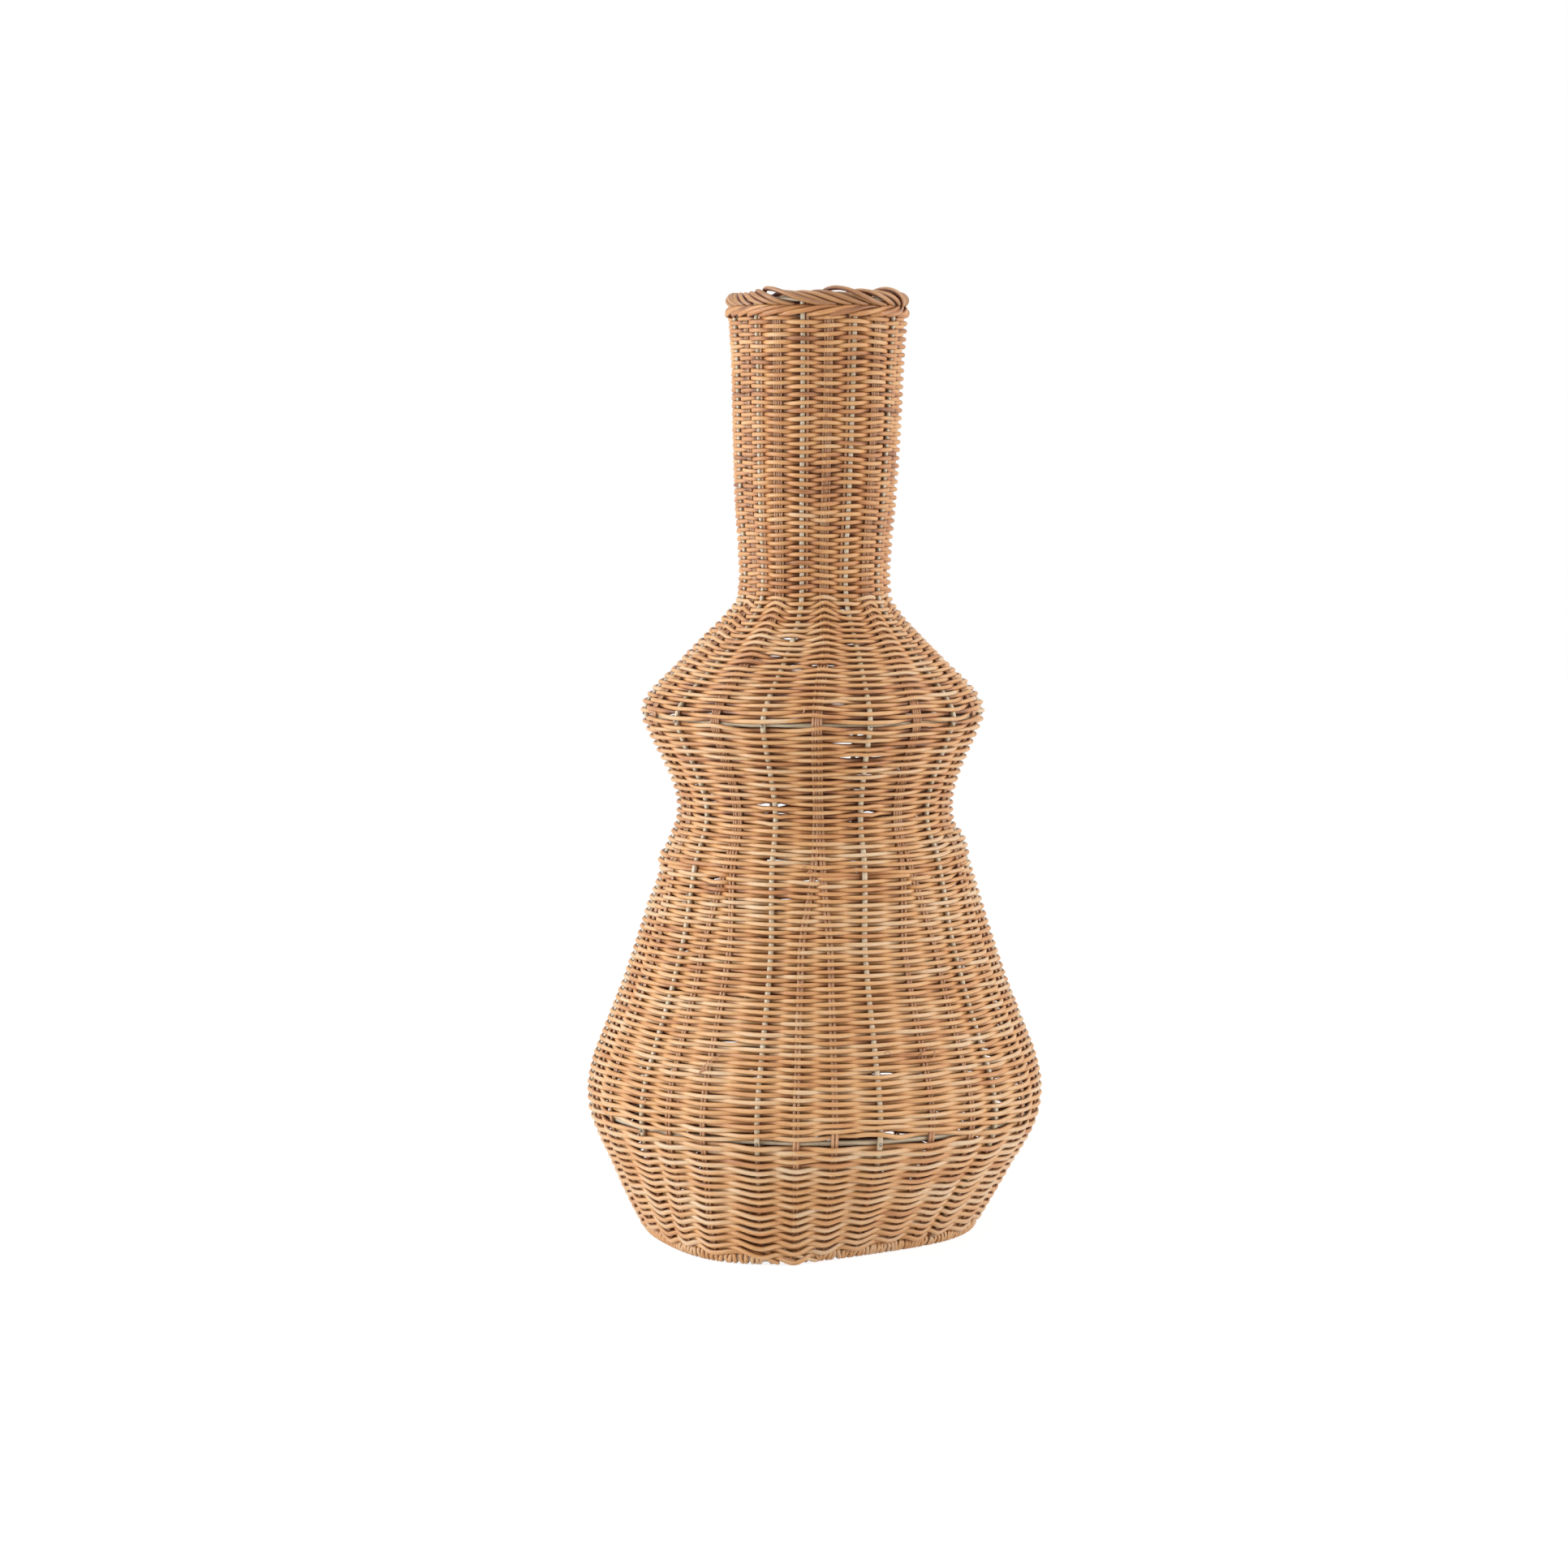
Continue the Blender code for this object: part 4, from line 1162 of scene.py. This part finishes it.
# Bands that sweep down over the foot: angle at the start and at the end, where round the hoop's
# section they start, how far they turn and how late, how far out they lie and how stout they are
FOOT_BANDS = ((-23.0, -10.0), (-21.0, -4.5), (-18.0, 1.5))
BAND_START = 82.0
BAND_TURN = 112.0
BAND_LATENESS = 1.3
BAND_OFFSET = 0.0026
BAND_STOUTNESS = 0.44


def base_ring(angle, reach, lay):
    """Points this far from the base hoop's middle line, at this turn round its section."""
    ring = BASE_RADIUS + out_of_round(angle, BASE_HEIGHT)
    return around(ring + reach * np.cos(lay), angle, BASE_HEIGHT + reach * np.sin(lay), FOOT_OFFSET)


def section_facing(angle, lay):
    """Directions that point out of a ring's section at this turn round it."""
    return around(np.cos(lay), angle, np.sin(lay), 0.0)


class RATTAN_OT_base(bpy.types.Operator):
    """Bends the base hoop, winds the strand round it and lays the sweeping ends over it"""

    bl_idname = "rattan.base"
    bl_label = "Wind Base"

    def execute(self, context):
        sizes = context.scene.rattan_sizes
        dice = np.random.RandomState(SEEDS["base"])
        angle = np.linspace(0.0, TURN, 240, endpoint=False)
        points, facing = base_ring(angle, 0.0, 0.0), section_facing(angle, 0.0)
        hoop = Strand(points, facing, BASE_HOOP_RADIUS, BASE_HOOP_RADIUS, True, 0.5)
        add_piece("cane_base_hoop", [hoop], "frame_cane", "base_hoop", sides=12)
        lay = TURN * np.arange(sizes.wraps * WRAP_STEPS) / WRAP_STEPS
        wander = np.repeat(dice.normal(0.0, WRAP_WANDER, sizes.wraps), WRAP_STEPS)
        slant = np.repeat(dice.normal(0.0, WRAP_SLANT, sizes.wraps), WRAP_STEPS)
        angle = lay / sizes.wraps + (wander + slant * np.sin(lay)) / BASE_RADIUS
        points = base_ring(angle, BASE_HOOP_RADIUS + WRAP_OFFSET, lay)
        facing = section_facing(angle, lay)
        coil = Strand(points, facing, WRAP_HALF_WIDTH, WRAP_HALF_THICKNESS, True, 0.6)
        add_piece("wound_base_binding", [coil], "binding_core", "base_binding")
        t = np.linspace(0.0, 1.0, 24)
        lay = np.radians(BAND_START - BAND_TURN * t**BAND_LATENESS)
        strands = []
        for start, end in FOOT_BANDS:
            angle = np.radians(start + (end - start) * t)
            points = base_ring(angle, BASE_HOOP_RADIUS + BAND_OFFSET, lay)
            radius, tone = sizes.weaver * BAND_STOUTNESS, dice.uniform(0.2, 0.9)
            strands.append(open_strand(points, section_facing(angle, lay), radius, tone))
        add_piece("sweeping_foot_bands", strands, "weaver_core")
        return {"FINISHED"}


# Floor: its rows and the points between stakes, how far it ends inside the base hoop, the hole in
# the middle, how far the rows rise and fall over the sticks, and half the width and height of a row
FLOOR_ROWS = 32
FLOOR_SAMPLES = 7
FLOOR_MARGIN = 0.0062
FLOOR_HOLE = 0.010
FLOOR_WAVE = 0.0004
FLOOR_CORE = (0.0014, 0.0010)
UPWARD = (0.0, 0.0, 1.0)


def stick_path(solid):
    """The middle line of a floor stick, from end to end, and its radius."""
    spots = np.array([vertex.co for vertex in solid.data.vertices])
    axis = int(np.argmax(np.ptp(spots, axis=0)))
    spots = spots[np.argsort(spots[:, axis])]
    path = np.array([part.mean(axis=0) for part in np.array_split(spots, 4)])
    path[[0, -1], axis] = spots[[0, -1], axis]
    marks = np.linspace(path[0, axis], path[-1, axis], 25)
    line = np.stack([np.interp(marks, path[:, axis], part) for part in path.T], axis=-1)
    return line, np.ptp(spots[:, 2]) / 2.0


class RATTAN_OT_floor(bpy.types.Operator):
    """Lays the crossed floor sticks and weaves the floor over them"""

    bl_idname = "rattan.floor"
    bl_label = "Weave Floor"

    def execute(self, context):
        ends = []
        for name in sorted(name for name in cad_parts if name.startswith("floor_stick")):
            line, radius = stick_path(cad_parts[name])
            inner = line[1:-1]
            strand = open_strand(inner, np.tile(UPWARD, (len(inner), 1)), radius, 0.4)
            add_piece(f"cane_{name}", [strand], "frame_cane", name, sides=10)
            ends += [atan2(end[0] - FOOT_OFFSET, -end[1]) for end in (line[0], line[-1])]
        part = np.arange(FLOOR_SAMPLES) / FLOOR_SAMPLES
        angle, _ = steps_round(np.sort(np.array(ends)), part)
        edge = BASE_RADIUS - FLOOR_MARGIN + out_of_round(angle, BASE_HEIGHT)
        dice = np.random.RandomState(SEEDS["floor"])
        rows = []
        for row in range(FLOOR_ROWS):
            share = (row + 1.0) / (FLOOR_ROWS + 0.3)
            over = np.where((np.arange(len(ends)) + row) % 2 == 0, 1.0, -1.0)
            height = level("floor_weave") + FLOOR_WAVE * (over[:, None] * np.cos(pi * part)).ravel()
            points = around(edge * share + FLOOR_HOLE * (1.0 - share), angle, height, FOOT_OFFSET)
            facing = np.tile(UPWARD, (len(points), 1))
            rows.append(Strand(points, facing, *FLOOR_CORE, True, dice.uniform(0, 1)))
        add_piece("woven_floor", rows, "weaver_core", "floor_weave")
        return {"FINISHED"}


# Wale: its strands and how unevenly they start, how far up from the solid's foot they start and
# how far under the border they end, how far round each one runs, and its slope's shape
WALE_STRANDS = 24
WALE_JITTER = 0.18
WALE_START = 0.0026
WALE_TUCK = 0.0010
WALE_TURN = radians(40.0)
WALE_STEEPNESS = 1.15
WALE_EARLINESS = 0.85
# Offset from the wall, at first and what it then loses, thickness against the weavers and what it
# then loses, and depth against thickness
WALE_OFFSET = 0.0013
WALE_SINK = 0.0028
WALE_FULLNESS = 1.20
WALE_TAPER = 0.40
WALE_FLAT = 0.85

# Border strands at the front: where each tops the rim, how far round it then sweeps, and how
# high it stands above the roll
FRONT_CRESTS = (
    (-82, 18, -0.0010), (-73, 20, -0.0009), (-64, 25, -0.0007), (-55, 28, -0.0002),
    (-46.5, 29, 0.0010), (-38, 45, 0.0030), (-24, 34, 0.0), (-12, 33, 0.0), (-1, 33, 0.0), (9, 38, 0.0032),
    (15, 25, -0.0014), (27, 30, 0.0012), (39, 30, 0.0), (47, 32, 0.0026), (59, 25, 0.0), (69, 26, 0.0),
)
# The same for the others, as limits
BACK_CRESTS = np.linspace(79.5, 268.5, 19)
BACK_SWEEPS = (26.0, 31.0)
BACK_STANDS = (-0.0006, 0.0)
# Radius of the roll and its unevenness, degrees round the rim that a strand rises over, degrees
# round the roll where it tops it, and that it turns before and after
BORDER_REACH = 0.0035
BORDER_UNEVEN = 0.0002
RISE = 22.0
CREST = 90.0
TURN_BEFORE = 160.0
TURN_AFTER = 158.0
# Where along its sweep a strand stands highest, over what share of it, and how much slimmer it is
STAND_MIDDLE = 0.22
STAND_SPREAD = 0.55
STAND_SLIMMING = 50.0
BORDER_CENTRE = level("rim_border") - 0.0010
# Canes inside the roll: how far out and up from its middle, and radius
RIM_CORES = ((-0.0013, -0.0002, 0.0013), (0.0012, -0.0008, 0.0012))


def rim_ring(angle):
    """Radius of the rim at this angle."""
    return WALL.radius(WALL.at_height(RIM_HEIGHT)) + out_of_round(angle, RIM_HEIGHT)


class RATTAN_OT_rim(bpy.types.Operator):
    """Lays the wale against the stakes and rolls the border over their ends"""

    bl_idname = "rattan.rim"
    bl_label = "Roll Rim"

    def execute(self, context):
        sizes = context.scene.rattan_sizes
        dice = np.random.RandomState(SEEDS["rim"])
        add_piece("slanting_rim_wale", self.wale(sizes, dice), "weaver_core", "rim_wale")
        add_piece("rolled_rim_border", self.border(sizes, dice), "border_core", "rim_border", sides=10)
        add_piece("rim_core", self.cores(), "frame_cane")
        return {"FINISHED"}

    def wale(self, sizes, dice):
        """Strands that come out from behind one stake, climb over three and tuck under the border."""
        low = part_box("rim_wale")[0].z + WALE_START
        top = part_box("rim_border")[0].z + WALE_TUCK
        out = (sizes.upright + sizes.strand) / 2.0
        t = np.linspace(0.0, 1.0, 22)
        run = WALL.at_height(low + (top - low) * smooth(WALE_STEEPNESS * t) ** WALE_EARLINESS)
        offset = out * between(t, 0.0, 0.16) + WALE_OFFSET - WALE_SINK * between(t, 0.25, 1.0)
        radius = sizes.weaver / 2.0 * (WALE_FULLNESS - WALE_TAPER * between(t, 0.6, 1.0))
        strands = []
        for number in range(WALE_STRANDS):
            start = TURN * (number + dice.uniform(-WALE_JITTER, WALE_JITTER)) / WALE_STRANDS
            angle = NECK_FRONT_ANGLE + start + WALE_TURN * t
            strands.append(wall_strand(run, angle, offset, radius, dice.uniform(-0.9, 0.1), WALE_FLAT))
        return strands

    def border(self, sizes, dice):
        """Strands that rise inside the rim, roll over its top and sweep down outside it."""
        crests = list(FRONT_CRESTS)
        for crest in BACK_CRESTS:
            crests.append((crest, dice.uniform(*BACK_SWEEPS), dice.uniform(*BACK_STANDS)))
        strands = []
        for crest, sweep, stand in crests:
            turned = np.concatenate((np.linspace(-RISE, 0.0, 12)[:-1], np.linspace(0.0, sweep, 22)))
            rate = np.where(turned < 0.0, TURN_BEFORE / RISE, TURN_AFTER / sweep)
            lay, angle = np.radians(CREST - turned * rate), np.radians(crest + turned)
            raised = bell(turned - STAND_MIDDLE * sweep, STAND_SPREAD * sweep)
            reach = BORDER_REACH + dice.uniform(-BORDER_UNEVEN, BORDER_UNEVEN) + stand * raised
            slimmer = 1.0 - STAND_SLIMMING * max(stand, 0.0) * raised
            radius = sizes.border / 2.0 * dice.uniform(0.94, 1.04) * slimmer
            ring = rim_ring(angle) + reach * np.cos(lay)
            points = around(ring, angle, BORDER_CENTRE + reach * np.sin(lay), RIM_OFFSET)
            points[:, 2] = np.minimum(points[:, 2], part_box("rim_border")[1].z - radius)
            strands.append(open_strand(points, section_facing(angle, lay), radius, dice.uniform(0.0, 1.0)))
        return strands

    def cores(self):
        """Two canes that run round inside the roll."""
        angle = np.linspace(0.0, TURN, 120, endpoint=False)
        strands = []
        for out, up, radius in RIM_CORES:
            points = around(rim_ring(angle) + out, angle, BORDER_CENTRE + up, RIM_OFFSET)
            strands.append(Strand(points, section_facing(angle, 0.0), radius, radius, True, 0.5))
        return strands


# Floor of the studio: radius, how much of its brightness is its own where it is seen, and how
# strongly it then shines
FLOOR_RADIUS = 6.0
FLOOR_GLOW = 0.7
FLOOR_SHINE = 1.25
# Large soft lights: the setting that holds their power, name, colour, place and width
LIGHTS = (
    ("key", "left_light", (0.85, 0.92, 1.0), (-2.1, -0.60, 0.60), 2.0),
    ("fill", "right_light", (0.93, 0.96, 1.0), (2.1, -0.60, 0.60), 2.0),
    ("top", "top_light", (0.90, 0.95, 1.0), (0.0, -0.2, 2.6), 2.2),
)
LIGHT_AIM = Vector((0.0, 0.0, 0.30))
SENSOR_WIDTH = 36.0


class RATTAN_OT_stage(bpy.types.Operator):
    """Sets the pale floor, the lights and the camera"""

    bl_idname = "rattan.stage"
    bl_label = "Set Stage"

    def execute(self, context):
        scene = context.scene
        studio = scene.rattan_studio
        self.floor(scene.rattan_colours.floor)
        for setting, name, colour, place, width in LIGHTS:
            self.light(name, getattr(studio, setting), colour, place, width)
        self.room(scene, studio.world)
        camera = bpy.data.cameras.new("photo_camera")
        camera.lens = studio.lens
        camera.sensor_width = SENSOR_WIDTH
        holder = bpy.data.objects.new("photo_camera", camera)
        scene.collection.objects.link(holder)
        holder.location = (studio.aside, -studio.distance, studio.camera_height)
        holder.rotation_euler = (pi / 2.0 - studio.tilt, 0.0, 0.0)
        scene.camera = holder
        scene.view_settings.view_transform = "Standard"
        return {"FINISHED"}

    def floor(self, colour):
        """A wide pale floor that keeps the vase's shadow and else looks white."""
        bpy.ops.mesh.primitive_circle_add(
            vertices=96, radius=FLOOR_RADIUS, fill_type="NGON", location=(0, 0, 0))
        floor = bpy.context.object
        floor.name = "studio_floor"
        finish = Finish("studio_floor")
        finish.feed(Base_Color=linear(colour), Roughness=0.9)
        glow = finish.add("ShaderNodeEmission", {}, {"Color": WHITE, "Strength": FLOOR_SHINE})
        plain = Wire(finish.tree, finish.shader.outputs[0])
        finish.mixed_output("Material Output", finish.seen() * FLOOR_GLOW, plain, glow)
        floor.data.materials.append(finish.material)

    def light(self, name, power, colour, place, width):
        """One square light that shines at the vase."""
        lamp = bpy.data.lights.new(name, "AREA")
        lamp.color = colour
        lamp.shape = "SQUARE"
        lamp.size = width
        lamp.energy = power
        holder = bpy.data.objects.new(name, lamp)
        bpy.context.scene.collection.objects.link(holder)
        holder.location = place
        holder.rotation_euler = (LIGHT_AIM - Vector(place)).to_track_quat("-Z", "Y").to_euler()

    def room(self, scene, strength):
        """Even light from all round, behind which the background is white."""
        world = bpy.data.worlds.new("studio_room")
        scene.world = world
        nodes = Nodes(world)
        even = nodes.tree.nodes["Background"]
        connect(nodes.tree, WHITE, even.inputs["Color"])
        connect(nodes.tree, strength, even.inputs["Strength"])
        white = nodes.add("ShaderNodeBackground", {}, {"Color": WHITE, "Strength": 1.0})
        nodes.mixed_output("World Output", nodes.seen(), Wire(nodes.tree, even.outputs[0]), white)


class RATTAN_PT_vase(bpy.types.Panel):
    """Sizes, colours and steps of the vase"""

    bl_idname = "RATTAN_PT_vase"
    bl_label = "Rattan Vase"
    bl_space_type = "VIEW_3D"
    bl_region_type = "UI"
    bl_category = "Vase"

    def draw(self, context):
        scene, layout = context.scene, self.layout
        for settings in (scene.rattan_sizes, scene.rattan_colours, scene.rattan_studio):
            box = layout.box()
            for name in settings.__annotations__:
                box.prop(settings, name)
        for panel in PANELS:
            layout.operator(RATTAN_OT_weave.bl_idname, text=f"Weave {panel}").panel = panel
        for operator in OPERATORS[1:]:
            layout.operator(operator.bl_idname)


SETTINGS = (RattanSizes, RattanColours, RattanStudio)
OPERATORS = (
    RATTAN_OT_weave, RATTAN_OT_uprights, RATTAN_OT_stake_pairs, RATTAN_OT_hoops, RATTAN_OT_nails,
    RATTAN_OT_fibres, RATTAN_OT_base, RATTAN_OT_floor, RATTAN_OT_rim, RATTAN_OT_stage,
)


def register():
    for item in (*SETTINGS, *OPERATORS, RATTAN_PT_vase):
        bpy.utils.register_class(item)
    bpy.types.Scene.rattan_sizes = PointerProperty(type=RattanSizes)
    bpy.types.Scene.rattan_colours = PointerProperty(type=RattanColours)
    bpy.types.Scene.rattan_studio = PointerProperty(type=RattanStudio)


def unregister():
    del bpy.types.Scene.rattan_studio
    del bpy.types.Scene.rattan_colours
    del bpy.types.Scene.rattan_sizes
    for item in reversed((*SETTINGS, *OPERATORS, RATTAN_PT_vase)):
        bpy.utils.unregister_class(item)


def main():
    register()
    for panel in PANELS:
        bpy.ops.rattan.weave(panel=panel)
    bpy.ops.rattan.uprights()
    bpy.ops.rattan.stake_pairs()
    bpy.ops.rattan.hoops()
    bpy.ops.rattan.nails()
    bpy.ops.rattan.fibres()
    bpy.ops.rattan.base()
    bpy.ops.rattan.floor()
    bpy.ops.rattan.rim()
    bpy.ops.rattan.stage()


if __name__ == "__main__":
    main()
